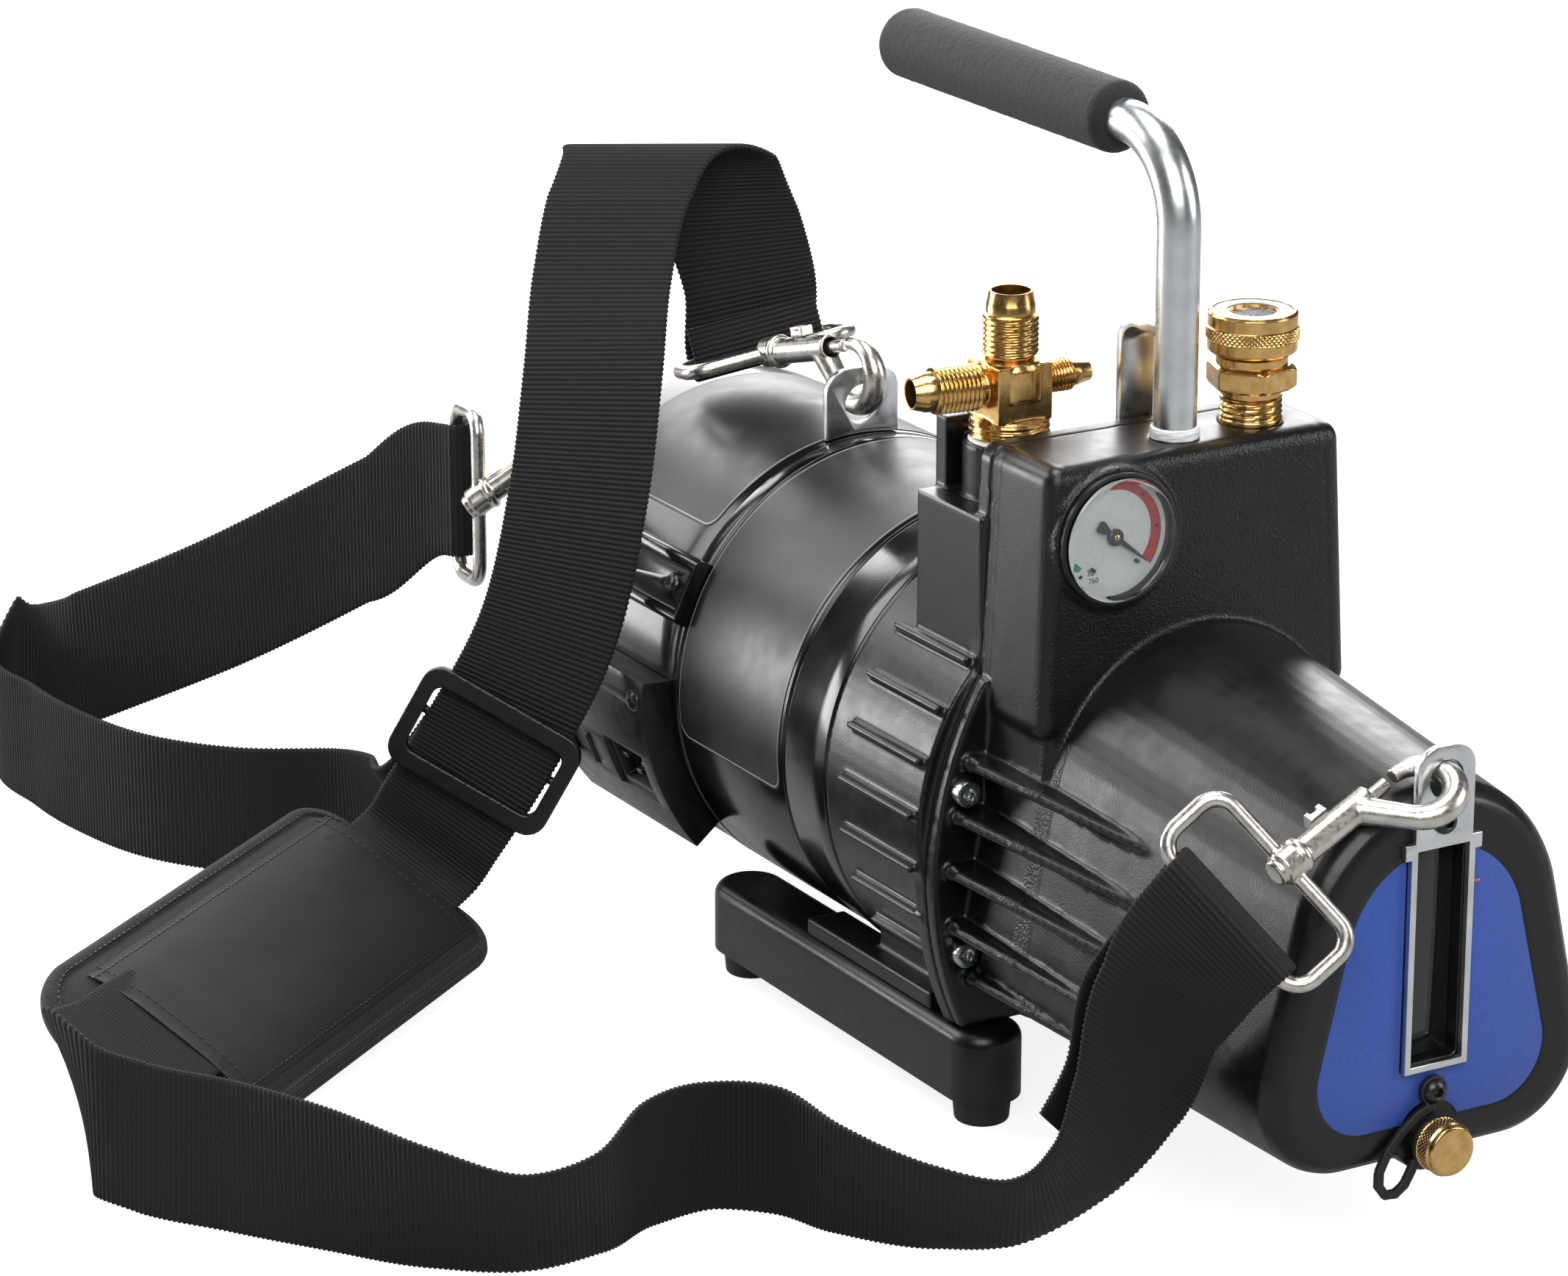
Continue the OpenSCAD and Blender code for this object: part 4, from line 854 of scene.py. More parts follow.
def zinc_pieces():
    """Handle tube, hanger and eyes."""
    bend = 30
    path = [(0, TUBE_Y, z) for z in (206, 240, 270, GRIP_Z - bend)]
    path += [(0, y, z) for y, z in arc(TUBE_Y + bend, GRIP_Z - bend, bend, range(175, 89, -5))]
    path += [(0, y, GRIP_Z) for y in (-40, 0, 40, 70)]
    make("handle_bar", tube(path, TUBE_R, 40), ZINC, stands_for=("handle_tube",))
    edged("hanger_hook", 0.5, ZINC)
    edged("front_eye", 0.5, ZINC)
    edged("motor_eyes", 0.5, ZINC)
    tape = [(TUBE_R + out, z) for out, z in ((0.1, 0), (0.9, 0.2), (1.0, 2.5), (0.7, 3.6), (0.05, 3.9))]
    make("handle_thread_tape", lathe(dense(tape, 0.4), 72, ragged(0.25), loop=True), TAPE,
         upright(0, TUBE_Y, 237))


def ragged(size):
    """Wave that makes a wound film uneven."""
    def wave(radius, height, angle):
        spot = Vector((3 * math.cos(angle), 3 * math.sin(angle), height * 1.7))
        return radius + size * noise.noise(spot)
    return wave


def foam():
    """Sleeve of foam with round ends over the handle tube."""
    start_y, length = -63, 138
    profile = [(TUBE_R + 0.05, 0), (GRIP_R - 4, 0)] + arc(GRIP_R - 4, 4, 4, range(-75, 1, 15))
    profile += [(GRIP_R, length - 5)] + arc(GRIP_R - 5, length - 5, 5, range(15, 91, 15)) + [(0, length)]
    def cells(radius, height, angle):
        spot = Vector((radius * math.cos(angle), radius * math.sin(angle), height))
        return radius + 0.14 * noise.noise(spot * 0.9) + 0.1 * noise.noise(spot * 0.25)
    make("foam_sleeve", lathe(dense(profile, 0.7), 110, cells), FOAM,
         facing_front(0, start_y, GRIP_Z) @ turned(180, "X"), stands_for=("foam_grip",), sharp=70)


# Brass pieces


def flare_port(r, start_at, length, bore, pitch):
    """Male flare: neck, thread, nose cone and bore, along local z."""
    low, high = start_at + 2, length - 8
    profile = dense([(r - 1.7, 0), (r - 1.7, low), (r, low + 0.6), (r, high), (r - 1.2, high + 0.6)], 0.16)
    profile += [(r - 1.3, length - 4.6), (r - 1.5, length - 4.2), (bore + 0.7, length), (bore, length - 0.1),
                (bore, 0)]
    return lathe(profile, 72, thread(low, high + 0.3, pitch, 0.75))


def intake_tee():
    """Forged tee with three threaded flares on a large threaded base."""
    x, y = TEE
    left = turned(-8, "Z") @ turned(-90, "Y")
    right = turned(90, "Y")
    core = together(
        block((-10.6, -9.8, -11.4), (10.6, 9.8, 8.2)),
        lathe([(0, -4), (11.6, -4), (11.6, 6.5), (10.4, 8.6), (8.2, 9.6), (0, 9.6)], 64),
        moved(lathe([(0, 0), (6.4, 0), (6.4, 12.5), (0, 12.5)], 48), left),
        moved(lathe([(0, 0), (4.6, 0), (4.6, 13), (0, 13)], 48), right),
        lathe([(0, -12), (12.4, -12), (12.6, -11), (0, -8)], 64))
    at = upright(x, y, TEE_AXIS_Z)
    body = worked(mesh_of("tee_body", core, at), ("REMESH", {"mode": "VOXEL", "voxel_size": 0.4 * MM}),
                  ("SMOOTH", {"factor": 0.5, "iterations": 5}))
    settle("intake_tee_body", body, BRASS, "pump", ("intake_tee",), 60)
    base = dense([(0, 0), (8.9, 0), (8.9, 18.6), (12.6, 19), (13.7, 19.8), (13.7, 25.6), (12.6, 26.8),
                  (0, 27.2)], 0.3)
    ports = [
        (flare_port(9.5, 8, 32, 6.6, 1.8), Matrix.Identity(4)),
        (flare_port(7.95, 9.5, 36, 4.6, 1.6), left),
        (flare_port(5.55, 9.5, 30.5, 2.7, 1.3), right),
    ]
    shapes = [moved(shape, at @ turn) for shape, turn in ports]
    shapes.append(moved(lathe(base, 90, thread(18.8, 26.2, 2.1, 0.9)), upright(x, y, 212)))
    make("intake_tee_threads", together(*shapes), BRASS, sharp=50)
    tape = [(8.95, 0), (13.2, 0.2), (13.8, 1.6), (13.4, 2.6), (8.95, 2.8)]
    make("intake_thread_tape", lathe(dense(tape, 0.4), 72, ragged(0.35), loop=True), TAPE,
         upright(x, y, 229.6))


def exhaust():
    """Outlet fitting with its hexagon, and the vented screw cap on it."""
    x, y = EXHAUST
    lower = dense([(7.5, 215), (10.6, 215), (10.6, 245.6), (9.9, 246), (9.9, 249)], 0.3) + [(7.5, 249)]
    upper = [(7.5, 256.4), (12.1, 256.4), (12.1, 259.6), (11.4, 260.2), (9.5, 260.4), (9.5, 268), (7.5, 268)]
    hexagon = [(7.5, 248.5), (12.2, 248.5), (13.3, 249.4), (13.4, 250.2), (13.4, 255.4), (13.3, 256.2),
               (12.2, 257), (7.5, 257)]
    six = flats(6, math.radians(12))
    def corners(radius, height, angle):
        if radius < 9:
            return radius
        ease = min(height - 248.5, 257 - height)
        return min(six(radius, height, angle), 13.1 + 1.5 * max(0.0, ease))
    union = together(lathe(lower, 84, thread(238, 246, 1.9, 0.8), True), lathe(upper, 72, None, True),
                     lathe(dense(hexagon, 0.35), 144, corners, True))
    make("exhaust_union", union, BRASS, upright(x, y, 0), stands_for=("exhaust_fitting",), sharp=28)
    seat = upright(x, y, 261)
    cap = [(9.9, 0.2), (14.2, 0), (15, 0.8), (15, 4.3), (15.7, 4.7), (15.7, 8.6), (15, 9), (15, 13.1),
           (14.3, 14), (13.5, 14), (13.4, 13.4), (7.9, 13.4), (7.9, 11), (9.9, 11)]
    make("exhaust_cap_body", lathe(dense(cap, 0.22), 448, knurl(4.6, 8.7, 56, 0.55), True), BRASS,
         seat, "exhaust_cap", ("exhaust_cap",), 45)
    make("exhaust_cap_ring", lathe([(8.6, 13.2), (13.2, 13.2), (13.2, 13.75), (8.6, 13.75)], 96, None, True),
         GREY_RING, seat, "exhaust_cap")
    wires = []
    for i in range(-8, 9):
        offset = i * 0.95
        half = math.sqrt(max(0.2, 8.4 ** 2 - offset ** 2))
        wires.append(tube([(offset, -half, 12.0), (offset, half, 12.0)], 0.26, 6))
        wires.append(tube([(-half, offset, 11.6), (half, offset, 11.6)], 0.26, 6))
    make("exhaust_cap_screen", together(*wires), STEEL, seat, "exhaust_cap")


def drain():
    """Drain stub, its knurled cap with a plain face, and the rubber loop that keeps the cap."""
    edged("drain_fitting", 0.3, BRASS)
    cap = [(0, 6), (5.1, 5.9), (5.1, 0), (7.5, 0), (9.05, 1.3), (9.05, 6.4), (8.4, 7.1), (8.4, 8.0),
           (8.1, 8.55), (7.4, 8.8), (0, 8.8)]
    make("drain_cap_body", lathe(dense(cap, 0.25), 320, knurl(1.3, 6.4, 40, 0.45)), BRASS,
         facing_front(0, FACE_Y - 4.3, DRAIN_Z), "drain_cap", ("drain_cap",), 45)
    cast("drain_tether_loop", copy_of("drain_tether"), 0.35, 4, RUBBER,
         stands_for=("drain_tether",), most=60000)


# Gauge, window and small screws


def sector(inner, outer, a0, a1, low, high):
    """Flat arc in local x and y between two angles, whose inner radius goes from one value to another."""
    steps = max(2, int(abs(a1 - a0) / 3))
    turns = [a0 + (a1 - a0) * i / steps for i in range(steps + 1)]
    outline = arc(0, 0, outer, turns)
    for i in range(steps, -1, -1):
        outline += arc(0, 0, inner[0] + (inner[1] - inner[0]) * i / steps, turns[i:i + 1])
    return plate(outline, low, high)


def number_mesh(text, size, x, y):
    """Plain dial number as a flat mesh, centred at a place on the dial."""
    letter = bpy.data.curves.new("number", "FONT")
    letter.body = text
    letter.size = size * MM
    letter.align_x = "CENTER"
    letter.align_y = "CENTER"
    letter.extrude = 0.03 * MM
    mesh = evaluated(letter)
    place = facing_front(GAUGE[0], DIAL_Y, GAUGE[1]) @ upright(x, y, 0.03)
    mesh.transform(Matrix.Translation(place.translation * MM) @ place.to_3x3().to_4x4())
    return mesh


def gauge():
    """Vacuum gauge: black cup, white dial with arcs and plain numbers, needle and thick clear lens."""
    x, z = GAUGE
    edged("gauge_case", 0.3, BLACK_PLASTIC)
    face = facing_front(x, DIAL_Y, z)
    make("dial_plate", lathe([(1.1, -1), (LENS_R - 0.6, -1), (LENS_R - 0.6, 0), (1.1, 0)], 96, None, True),
         DIAL_WHITE, face, stands_for=("gauge_dial",))
    red = sector((14, 17.5), 18.6, NEEDLE_REST, 189, 0.01, 0.06)
    make("dial_red_arc", red, DIAL_RED, face)
    green = sector((17.4, 15), 18.6, 190, 217, 0.01, 0.06)
    make("dial_green_arc", green, DIAL_GREEN, face)
    marks = [sector((r, r), r + 1.3, a - 1.8, a + 1.8, 0.06, 0.09)
             for r, a in ((16.3, 49), (16.3, 4), (16.8, 224))]
    make("dial_marks", together(*marks), DIAL_BLACK, face)
    numbers = [number_mesh("30", 3.0, -8.6, -11.2), number_mesh("760", 2.7, -7.4, -14.1)]
    settle("dial_numbers", joined(numbers, "dial_numbers"), DIAL_BLACK)
    pin = lathe([(0, 0), (0.7, 0), (0.7, 1.6), (0, 1.8)], 16)
    pins = [moved(pin, upright(*spot, 0)) for spot in arc(0, 0, 13, STOP_PINS)]
    make("dial_stop_pins", together(*pins), DIAL_BLACK, face)
    hand = [(-8, -1.7), (-6.8, -2.1), (-3, -0.9), (0, -1.1), (16, -0.22), (16, 0.22), (0, 1.1), (-3, 0.9),
            (-6.8, 2.1), (-8, 1.7)]
    hub = lathe([(0, 0), (2.9, 0), (2.9, 0.8), (2.4, 1.2), (0, 1.2)], 40)
    spindle = lathe([(0, -1.9), (1, -1.9), (1, 0), (0, 0)], 24)
    pivot = facing_front(x, DIAL_Y - 1, z)
    pointer = together(moved(plate(hand, 0, 0.5), turned(NEEDLE_REST, "Z")), hub, spindle)
    make("needle_pointer", pointer, DIAL_BLACK, pivot, "gauge_needle", ("gauge_needle",))
    make("needle_pin", lathe([(0, 1.1), (1.2, 1.1), (1.2, 1.5), (0.8, 1.8), (0, 1.85)], 24), BRASS,
         pivot, "gauge_needle")
    lens = [(0, 0), (LENS_R, 0), (LENS_R, 3.1)]
    lens += [(LENS_R - 1.8 * (1 - u), 3.1 + 1.3 * v) for u, v in arc(0, 0, 1, range(15, 91, 15))]
    lens += [(LENS_R - 3, 4.35), (0, 4.4)]
    make("gauge_window", lathe(dense(lens, 1.0), 128), LENS, facing_front(x, BOX_Y + 2.5, z),
         stands_for=("gauge_lens",))


def sight_window():
    """Oil window, and two level lines on the sheet beside it."""
    edged("sight_glass", 0.2, WINDOW)
    front = min(v.co.y for v in NODES["face_label"].data.vertices) / MM
    lines = [block((12.6, front - 0.05, z), (16.4, front, z + 0.7)) for z in (138.6, 127.4)]
    make("level_lines", together(*lines), LEVEL_ORANGE)


def fasteners():
    """Button heads on the face and cross heads on the motor."""
    def recess(deep, form):
        def wave(radius, height, angle):
            return radius if radius > 2.3 or height < deep else form(radius, height, angle)
        return wave
    def cross_form(radius, height, angle):
        return radius * (0.3 + 0.7 * abs(math.cos(2 * angle)) ** 3)
    button = [(0, -7), (2, -7), (2, -0.1), (4.2, 0), (4.1, 0.6), (3.5, 1.5), (2.6, 2.2), (1.8, 2.45),
              (1.46, 2.2), (1.45, 1.0), (0, 1.0)]
    cross = [(0, -3), (2, -3), (2, -0.1), (4, 0), (3.8, 0.4), (3.2, 1.05), (2.4, 1.5), (2.0, 1.62),
             (1.1, 1.0), (0, 0.9)]
    front = (0, -1, 0)
    spots = [((0, FACE_Y - 2.4, TETHER_Z), front), ((0, FACE_Y - 2.5, 151), front)]
    screws("face_screws", lathe(button, 72, recess(0.9, flats(6))), spots, BLACK_SCREW,
           ("small_screws",))
    spots = []
    for angle, out, y in ((154, 86.5, 104), (182, MOTOR_R + 11.52, 103)):
        way = Vector((math.cos(math.radians(angle)), 0, math.sin(math.radians(angle))))
        spots.append(((way.x * out, y, AXIS_Z + way.z * out), way))
    screws("motor_screws", lathe(cross, 72, recess(0.85, cross_form)), spots, BLACK_SCREW)


# Strap


def aim(tilt, heading):
    """Unit vector of a tilt from upright and a heading."""
    tilt, heading = math.radians(tilt), math.radians(heading)
    return Vector((math.sin(tilt) * math.cos(heading), math.sin(tilt) * math.sin(heading), math.cos(tilt)))


def loop_frame(hook):
    """Frame of a hook's wire loop at the swivel: bars along local x, legs along local z."""
    place, tilt, heading, _, loop_tilt, loop_heading, loop_turn = hook
    return (upright(*(Vector(place) + SWIVEL_AT * aim(tilt, heading))) @ turned(loop_heading, "Z")
            @ turned(loop_tilt, "Y") @ turned(loop_turn, "Z"))


def band_row(hook, along, out, side=1):
    """Row of webbing from the far bar of a hook's loop, moved along the legs and out of the loop's plane."""
    at = loop_frame(hook)
    return tuple(at @ Vector((0, out, LOOP_DEPTH + along))) + tuple(side * at.col[0].xyz)


def fold(hook, a0, a1, side):
    """Rows of webbing round the far bar between two angles."""
    turns = [a0 + (a1 - a0) * k / 4 for k in range(5)]
    return [band_row(hook, *spot, side) for spot in arc(0, 0, FOLD_R, turns)]


def smooth_rows(rows, spacing):
    """Even rows of a route on a cubic curve whose slopes are weighted by the distances between rows."""
    r = np.array(rows, float)
    r = np.vstack([2 * r[0] - r[1], r, 2 * r[-1] - r[-2]])
    gap = np.maximum(np.linalg.norm(np.diff(r[:, :3], axis=0), axis=1), 0.01)[:, None]
    step = np.diff(r, axis=0)
    slope = (step[:-1] * gap[1:] / gap[:-1] + step[1:] * gap[:-1] / gap[1:]) / (gap[:-1] + gap[1:])
    t = np.linspace(0, 1, 24, endpoint=False)[:, None]
    parts = []
    for i in range(1, len(r) - 2):
        rise, m, n = step[i], gap[i] * slope[i - 1], gap[i] * slope[i]
        parts.append(r[i] + m * t + (3 * rise - 2 * m - n) * t ** 2 + (m + n - 2 * rise) * t ** 3)
    fine = np.vstack(parts + [r[-2][None]])
    run = np.concatenate([[0], np.cumsum(np.linalg.norm(np.diff(fine[:, :3], axis=0), axis=1))])
    even = np.linspace(0, run[-1], max(8, int(run[-1] / spacing)))
    return np.stack([np.interp(even, run, fine[:, k]) for k in range(6)], axis=1), even


def webbing(name, rows, node):
    """Ribbed webbing along a route, with soft edges, standing for a node."""
    places, run = smooth_rows(rows, RIB_PITCH / 6)
    ways = np.gradient(places[:, :3], axis=0)
    ways /= np.linalg.norm(ways, axis=1)[:, None]
    cross = places[:, 3:] / np.linalg.norm(places[:, 3:], axis=1)[:, None]
    normal = np.cross(ways, cross)
    askew = np.linalg.norm(normal, axis=1)[:, None]
    cross, normal = cross / askew, normal / askew
    half_w, half_t = WEB_W / 2, WEB_T / 2 - RIB_RISE / 2
    across = np.array([-1, -0.985, -0.94, -0.7, -0.45, -0.2, 0.2, 0.45, 0.7, 0.94, 0.985, 1])
    rise = np.array([0.35, 0.8, 1, 1, 1, 1, 1, 1, 1, 1, 0.8, 0.35])
    section = [(u * half_w, h * half_t) for u, h in zip(across, rise)]
    section += [(u * half_w, -h * half_t) for u, h in zip(across[::-1], rise[::-1])]
    sides = len(section)
    lines = [places[:, :3] + u * cross + h * normal for u, h in section]
    points, faces = skin(np.stack(lines, axis=1).reshape(-1, 3) * MM, sides)
    mesh = bpy.data.meshes.new(name)
    mesh.from_pydata(points, [], faces)
    length_run = mesh.attributes.new("run", "FLOAT", "POINT")
    length_run.data.foreach_set("value", np.repeat(run * MM, sides).astype(np.float32))
    layer = mesh.uv_layers.new(name="UVMap")
    corner = np.zeros(len(mesh.loops), int)
    mesh.loops.foreach_get("vertex_index", corner)
    u = np.tile([s[0] * MM for s in section], len(places))[corner]
    v = np.repeat(run * MM, sides)[corner]
    layer.data.foreach_set("uv", np.stack([u, v], axis=1).ravel().astype(np.float32))
    ribbed = grown(edited(mesh, face_out), RIBS,
                   {"Pitch": RIB_PITCH * MM, "Rise": RIB_RISE * MM, "Material": WEBBING})
    piece = settle(name, ribbed, WEBBING, "pump", (node,), 80)
    return piece


def strap():
    """Three lengths of webbing on the three hooks. Two of them end in the sleeve of the pad."""
    front, top, rear = HOOKS["front"], HOOKS["top"], HOOKS["rear"]
    def in_sleeve(y, side):
        return [tuple(PAD_FRAME @ Vector((0.5, y, 5.9))) + tuple(side * PAD_FRAME.to_3x3().col[0])]
    front_rows = FRONT_RETURN[::-1] + fold(front, 250, 110, -1) + FRONT_ROUTE + in_sleeve(-80, -1)
    arch_rows = [band_row(top, -FOLD_R, -14)] + fold(top, 180, 20, 1) + ARCH_ROUTE + in_sleeve(58, 1)
    side_rows = [band_row(rear, 14, FOLD_R)] + fold(rear, 90, 270, 1) + SIDE_ROUTE
    webbing("front_webbing", front_rows, "strap_front_band")
    webbing("arch_webbing", arch_rows, "strap_arch_band")
    webbing("side_webbing", side_rows, "strap_side_band")


def hook_frame(hook):
    """Frame of a hook at its bow centre, with its bolt in line with the swivel."""
    place, tilt, heading, roll = hook[:4]
    lean = -math.degrees(math.asin(BOLT_X / SWIVEL_AT))
    return (upright(*place) @ turned(heading, "Z") @ turned(tilt, "Y") @ turned(roll, "Z")
            @ turned(lean, "Y"))


def hook_body():
    """Cast hook: tapered bow, neck, barrel of the bolt and swivel, along local z."""
    turns = range(120, 367, 6)
    bow = [(x, 0, z) for x, z in arc(0, 0, BOW_R, turns)]
    wires = [BOW_WIRE + 0.5 * math.sin(math.radians(a - 120)) + (TIP_WIRE - BOW_WIRE) * max(0, a - 270) / 96
             for a in turns]
    neck = [bow[0], (BOLT_X, 0, bow[0][2] + (BOLT_X - bow[0][0]) / math.tan(math.radians(60)))]
    z = SWIVEL_Z
    barrel = lathe([(0, 12.5), (4.3, 12.5), (4.8, 13.2), (4.8, z - 6.2), (5.8, z - 6), (6.3, z - 5.4),
                    (6.3, z - 4), (5.7, z - 3.5), (5.7, z + 3), (4.4, z + 3.3), (4.4, z + 5), (3.6, z + 5.6),
                    (0, z + 5.7)], 48)
    return together(tube(bow, wires, 24), tube(neck, [BOW_WIRE, 4.6], 24),
                    moved(barrel, upright(BOLT_X, 0, 0)))


def wire_loop(hook):
    """Closed rectangular wire of a hook with its near bar in the swivel."""
    path = [(x, 0, z) for x, z in round_corners(LOOP_HALF, 0, LOOP_DEPTH, LOOP_BEND)]
    return moved(tube(path, LOOP_WIRE, 20, True), loop_frame(hook))


def bolt_shape():
    """Sliding bolt of a hook with its thumb piece."""
    bolt = lathe([(0, 4.2), (BOLT_R - 0.4, 4.2), (BOLT_R, 4.7), (BOLT_R, 31.8), (0, 31.8)], 32)
    thumb = together(block((0, -1.4, THUMB_Z - 2.4), (5.6, 1.4, THUMB_Z + 2.4)),
                     block((5, -2.7, THUMB_Z - 3.5), (7.2, 2.7, THUMB_Z + 3.5)),
                     block((7, -2.7, THUMB_Z - 3.5), (8.6, 2.7, THUMB_Z - 1.6)),
                     block((7, -2.7, THUMB_Z + 1.6), (8.6, 2.7, THUMB_Z + 3.5)))
    return moved(together(bolt, thumb), upright(BOLT_X, 0, 0))


def slide_shape():
    """Flat frame of the slide and the bar behind it that the webbing goes round."""
    outer = round_corners(SLIDE_RAIL + 3.2, -20.5, 20.5, 8)
    inner = round_corners(SLIDE_RAIL - 2.6, -13.6, 13.6, 4)
    rings = [(x, y, z) for rim, y in ((outer, 2.4), (outer, 6), (inner, 6), (inner, 2.4)) for x, z in rim]
    lugs = [block((side * SLIDE_RAIL - 1.9, -5.4, -4), (side * SLIDE_RAIL + 1.9, 3, 4)) for side in (-1, 1)]
    bar = tube([(-SLIDE_RAIL, -3.6, 0), (SLIDE_RAIL, -3.6, 0)], 1.6, 20)
    return together(skin(rings, len(outer), True), bar, *lugs)


def strap_metal():
    """Snap hooks with their bolts, and the moulded slide."""
    shapes, bores = [], []
    r = BOLT_R + 1.6
    bore = moved(lathe([(0, 10), (r, 10), (r, 38.5), (0, 38.5)], 32), upright(BOLT_X, 0, 0))
    slot = block((BOLT_X, -1.9, THUMB_Z - 2.8), (BOLT_X + 9, 1.9, THUMB_Z + 9))
    for name, hook in HOOKS.items():
        at = hook_frame(hook)
        shapes += [moved(hook_body(), at), wire_loop(hook)]
        bores.append(moved(together(bore, slot), at))
        gate = name + "_gate"
        bolt = mesh_of("bolt", bolt_shape(), at)
        cast(gate + "_bolt", bolt, 0.3, 3, NICKEL, gate, (gate,), 40000)
    cast("snap_hook_castings", mesh_of("hooks", together(*shapes)), 0.45, 4, NICKEL,
         stands_for=("snap_hooks",), most=180000, cut=mesh_of("bores", together(*bores)))
    cast("slide_frame", mesh_of("slide", slide_shape(), SLIDE_FRAME), 0.5, 4, BLACK_PLASTIC,
         stands_for=("slide_adjuster",), most=60000)


def pad_outline(inset):
    """Rim of the pad drawn in by an inset: the belt round its corner circles."""
    rim, last = [], None
    for way in arc(0, 0, 1, range(0, 361, 2)):
        corner = max(PAD_CORNERS, key=lambda c: way[0] * c[0] + way[1] * c[1] + c[2])
        spot = Vector(corner[:2]) + (corner[2] - inset) * Vector(way)
        if last and last[0] is not corner:
            rim += [last[1].lerp(spot, i / 16) for i in range(1, 16)]
        rim.append(spot)
        last = (corner, spot)
    return rim[:-1]


def flat_uv(mesh, place):
    """UV map in metres from the local x and y of a frame given in millimetres."""
    back = place.inverted()
    layer = mesh.uv_layers.new(name="UVMap")
    for loop in mesh.loops:
        spot = back @ (mesh.vertices[loop.vertex_index].co / MM)
        layer.data[loop.index].uv = (spot.x * MM, spot.y * MM)


def pad_base():
    """Foam pad in coarse cloth with a rolled binding along its rim."""
    rows = [(16, -5), (8, -4.9), (3, -4.2), (1, -3.1), (0.2, -1.6), (0, 0), (0.2, 1.6), (1, 3), (2.4, 3.7),
            (4.2, 3.8), (5.3, 3.4), (5.8, 3.0), (6.4, 3.2), (9, 4.2), (12.5, 4.8), (16.5, 5)]
    points = []
    for inset, height in rows:
        for spot in pad_outline(inset):
            soft = 0.7 * noise.noise(Vector((spot.x, spot.y, 0)) * 0.05)
            points.append((spot.x, spot.y, height + soft * abs(height) / 5))
    pad = make("shoulder_pad_base", skin(points, len(points) // len(rows)), PAD_BASE, PAD_FRAME,
               stands_for=("shoulder_pad",), sharp=80)
    flat_uv(pad.data, PAD_FRAME)


def sleeve_height(x, y):
    """Upper face of the pad's sleeve: sewn down along both sides, raised by the webbing in it."""
    (x0, y0), (x1, y1) = SLEEVE
    u = (2 * x - x0 - x1) / (x1 - x0)
    hem = max(0.0, 1 - min(y - y0, y1 - y) / 3)
    wrinkle = noise.noise(Vector((x * 0.035, y * 0.06, 0.3)))
    wrinkle += 0.5 * noise.noise(Vector((x * 0.09, y * 0.05, 4)))
    return SLEEVE_LOW + SLEEVE_RISE * (1 - abs(u) ** 3.5) + 0.35 * hem + 0.45 * wrinkle * (1 - u * u)


def pad_sleeve():
    """Twill sleeve with stitched edges over the webbing."""
    (x0, y0), (x1, y1) = SLEEVE
    across = [x0 + (x1 - x0) * i / 48 for i in range(49)]
    points = []
    for j in range(111):
        y = y0 + (y1 - y0) * j / 110
        for xs, drop in ((across, 0), (across[::-1], 0.9)):
            points += [(x, y, sleeve_height(x, y) - drop) for x in xs]
    sleeve = make("shoulder_pad_sleeve", skin(points, 2 * len(across)), PAD_SLEEVE, PAD_FRAME,
                  sharp=70)
    flat_uv(sleeve.data, PAD_FRAME)


def pad_seams():
    """Stitches along the sleeve and round the binding."""
    (x0, y0), (x1, y1) = SLEEVE
    def on_sleeve(spots):
        return [tuple(PAD_FRAME @ Vector((x, y, sleeve_height(x, y) + 0.1))) for x, y in spots]
    seams = [on_sleeve([(x, y0 + (y1 - y0) * k / 80) for k in range(81)]) for x in (x0 + 2.2, x1 - 2.2)]
    seams += [on_sleeve([(x0 + (x1 - x0) * k / 40, y) for k in range(41)]) for y in (y0 + 8, y1 - 5)]
    binding = [tuple(PAD_FRAME @ Vector((p.x, p.y, 3.75))) for p in pad_outline(4.4)]
    stitched("shoulder_pad_stitches", seams + [binding + binding[:1]], 3.2, 2.5, 0.55, THREAD)


def shoulder_pad():
    """Foam pad with its sleeve and seams."""
    pad_base()
    pad_sleeve()
    pad_seams()


housings()
labels()
zinc_pieces()
foam()
intake_tee()
exhaust()
drain()
gauge()
sight_window()
fasteners()
strap_metal()
strap()
shoulder_pad()


# Floor, light and camera: strengths of the floor's glow, then lamps as place, size in metres and watts
FLOOR_SEEN, FLOOR_MIRRORED = 0.86, 0.18
SURROUND = 0.1
LAMP_TARGET = Vector((0, 0, 0.12))
LAMPS = [
    ("left_low_softbox", (-1.07, 1.19, 0.22), (0.7, 0.45), 12),
    ("left_rear_softbox", (-0.85, 1.0, 1.05), (1.0, 0.6), 12),
    ("right_rear_softbox", (0.75, 1.6, 0.95), (2.0, 1.2), 44),
    ("top_softbox", (-0.1, 0.1, 1.9), (1.2, 0.9), 26),
    ("front_softbox", (-0.9, -1.7, 1.6), (1.8, 1.4), 46),
    ("right_softbox", (1.4, -1.2, 0.9), (0.8, 1.2), 16),
]
CAMERA_PLACE = (-1.0168, -1.5824, 0.7643)
CAMERA_AZIMUTH, CAMERA_ELEVATION = -30.3, 18.4


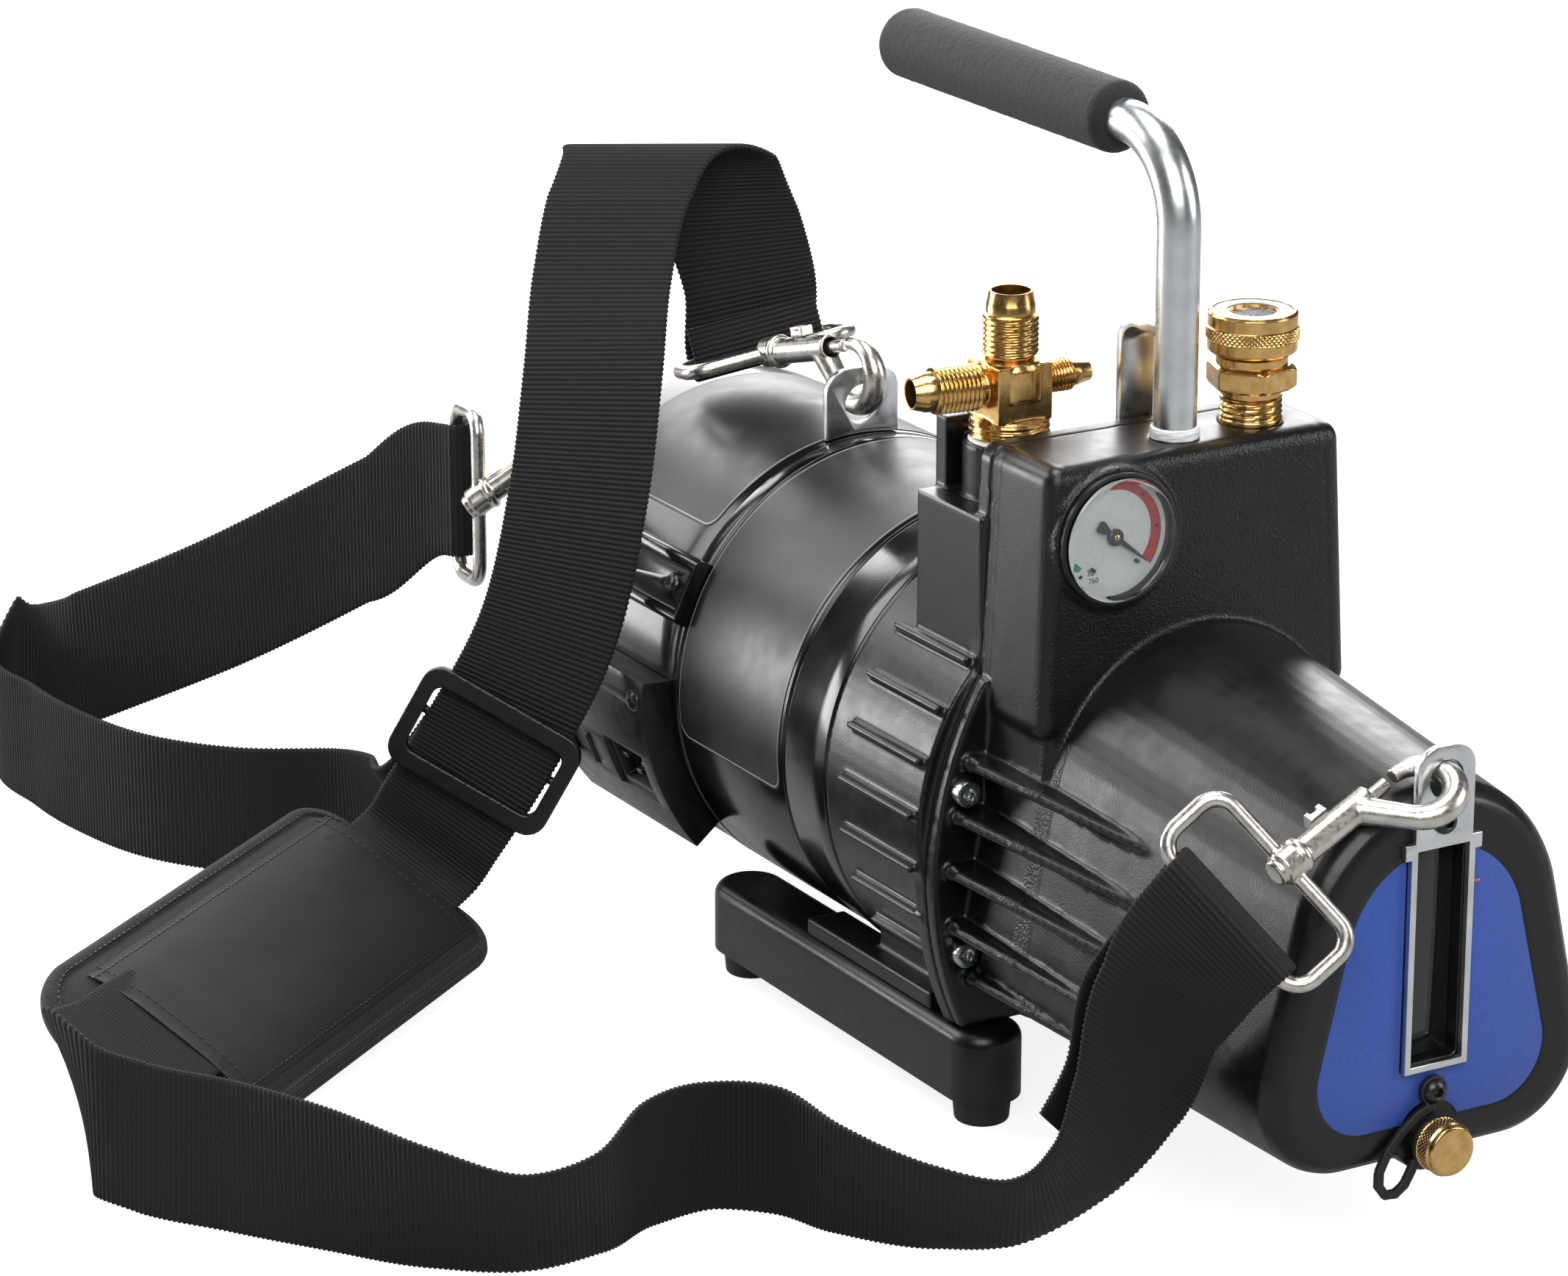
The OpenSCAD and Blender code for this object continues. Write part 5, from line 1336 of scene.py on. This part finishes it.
def stage():
    """Pale floor that the camera sees as white, dim surroundings, large soft lamps and the camera."""
    scene = bpy.context.scene
    floor_mesh = bpy.data.meshes.new("floor")
    floor_mesh.from_pydata([(-6, -6, 0), (6, -6, 0), (6, 6, 0), (-6, 6, 0)], [], [(0, 1, 2, 3)])
    floor = bpy.data.objects.new("floor", floor_mesh)
    material, tree, shader = start("floor_paper", "8c8c8c", 0.8, {"Emission Color": (1, 1, 1, 1)})
    vary(tree, shader, "Roughness", 0.75, 0.85, cloudy(tree, 30))
    path = add(tree, "ShaderNodeLightPath").outputs
    seen = add(tree, "ShaderNodeMath", {0: path["Is Camera Ray"], 1: FLOOR_SEEN}, operation="MULTIPLY")
    shown = add(tree, "ShaderNodeMath", {0: path["Is Glossy Ray"], 1: FLOOR_MIRRORED, 2: seen.outputs[0]},
                operation="MULTIPLY_ADD")
    tree.links.new(shown.outputs[0], shader.inputs["Emission Strength"])
    floor_mesh.materials.append(material)
    scene.collection.objects.link(floor)

    world = bpy.data.worlds.new("studio")
    scene.world = world
    world.use_nodes = True
    world.node_tree.nodes["Background"].inputs["Color"].default_value = (1, 1, 1, 1)
    world.node_tree.nodes["Background"].inputs["Strength"].default_value = SURROUND

    for name, place, size, power in LAMPS:
        lamp = bpy.data.lights.new(name, "AREA")
        lamp.shape = "RECTANGLE"
        lamp.size, lamp.size_y = size
        lamp.energy = power
        holder = bpy.data.objects.new(name, lamp)
        holder.location = place
        holder.rotation_euler = (LAMP_TARGET - Vector(place)).to_track_quat("-Z", "Y").to_euler()
        scene.collection.objects.link(holder)

    lens = bpy.data.cameras.new("camera")
    lens.lens = 130.5
    lens.sensor_width = 36
    lens.sensor_fit = "HORIZONTAL"
    lens.clip_end = 50
    camera = bpy.data.objects.new("camera", lens)
    camera.location = CAMERA_PLACE
    sight = -aim(90 - CAMERA_ELEVATION, CAMERA_AZIMUTH - 90)
    camera.rotation_euler = sight.to_track_quat("-Z", "Y").to_euler()
    scene.collection.objects.link(camera)
    scene.camera = camera
    scene.view_settings.view_transform = "Standard"


stage()
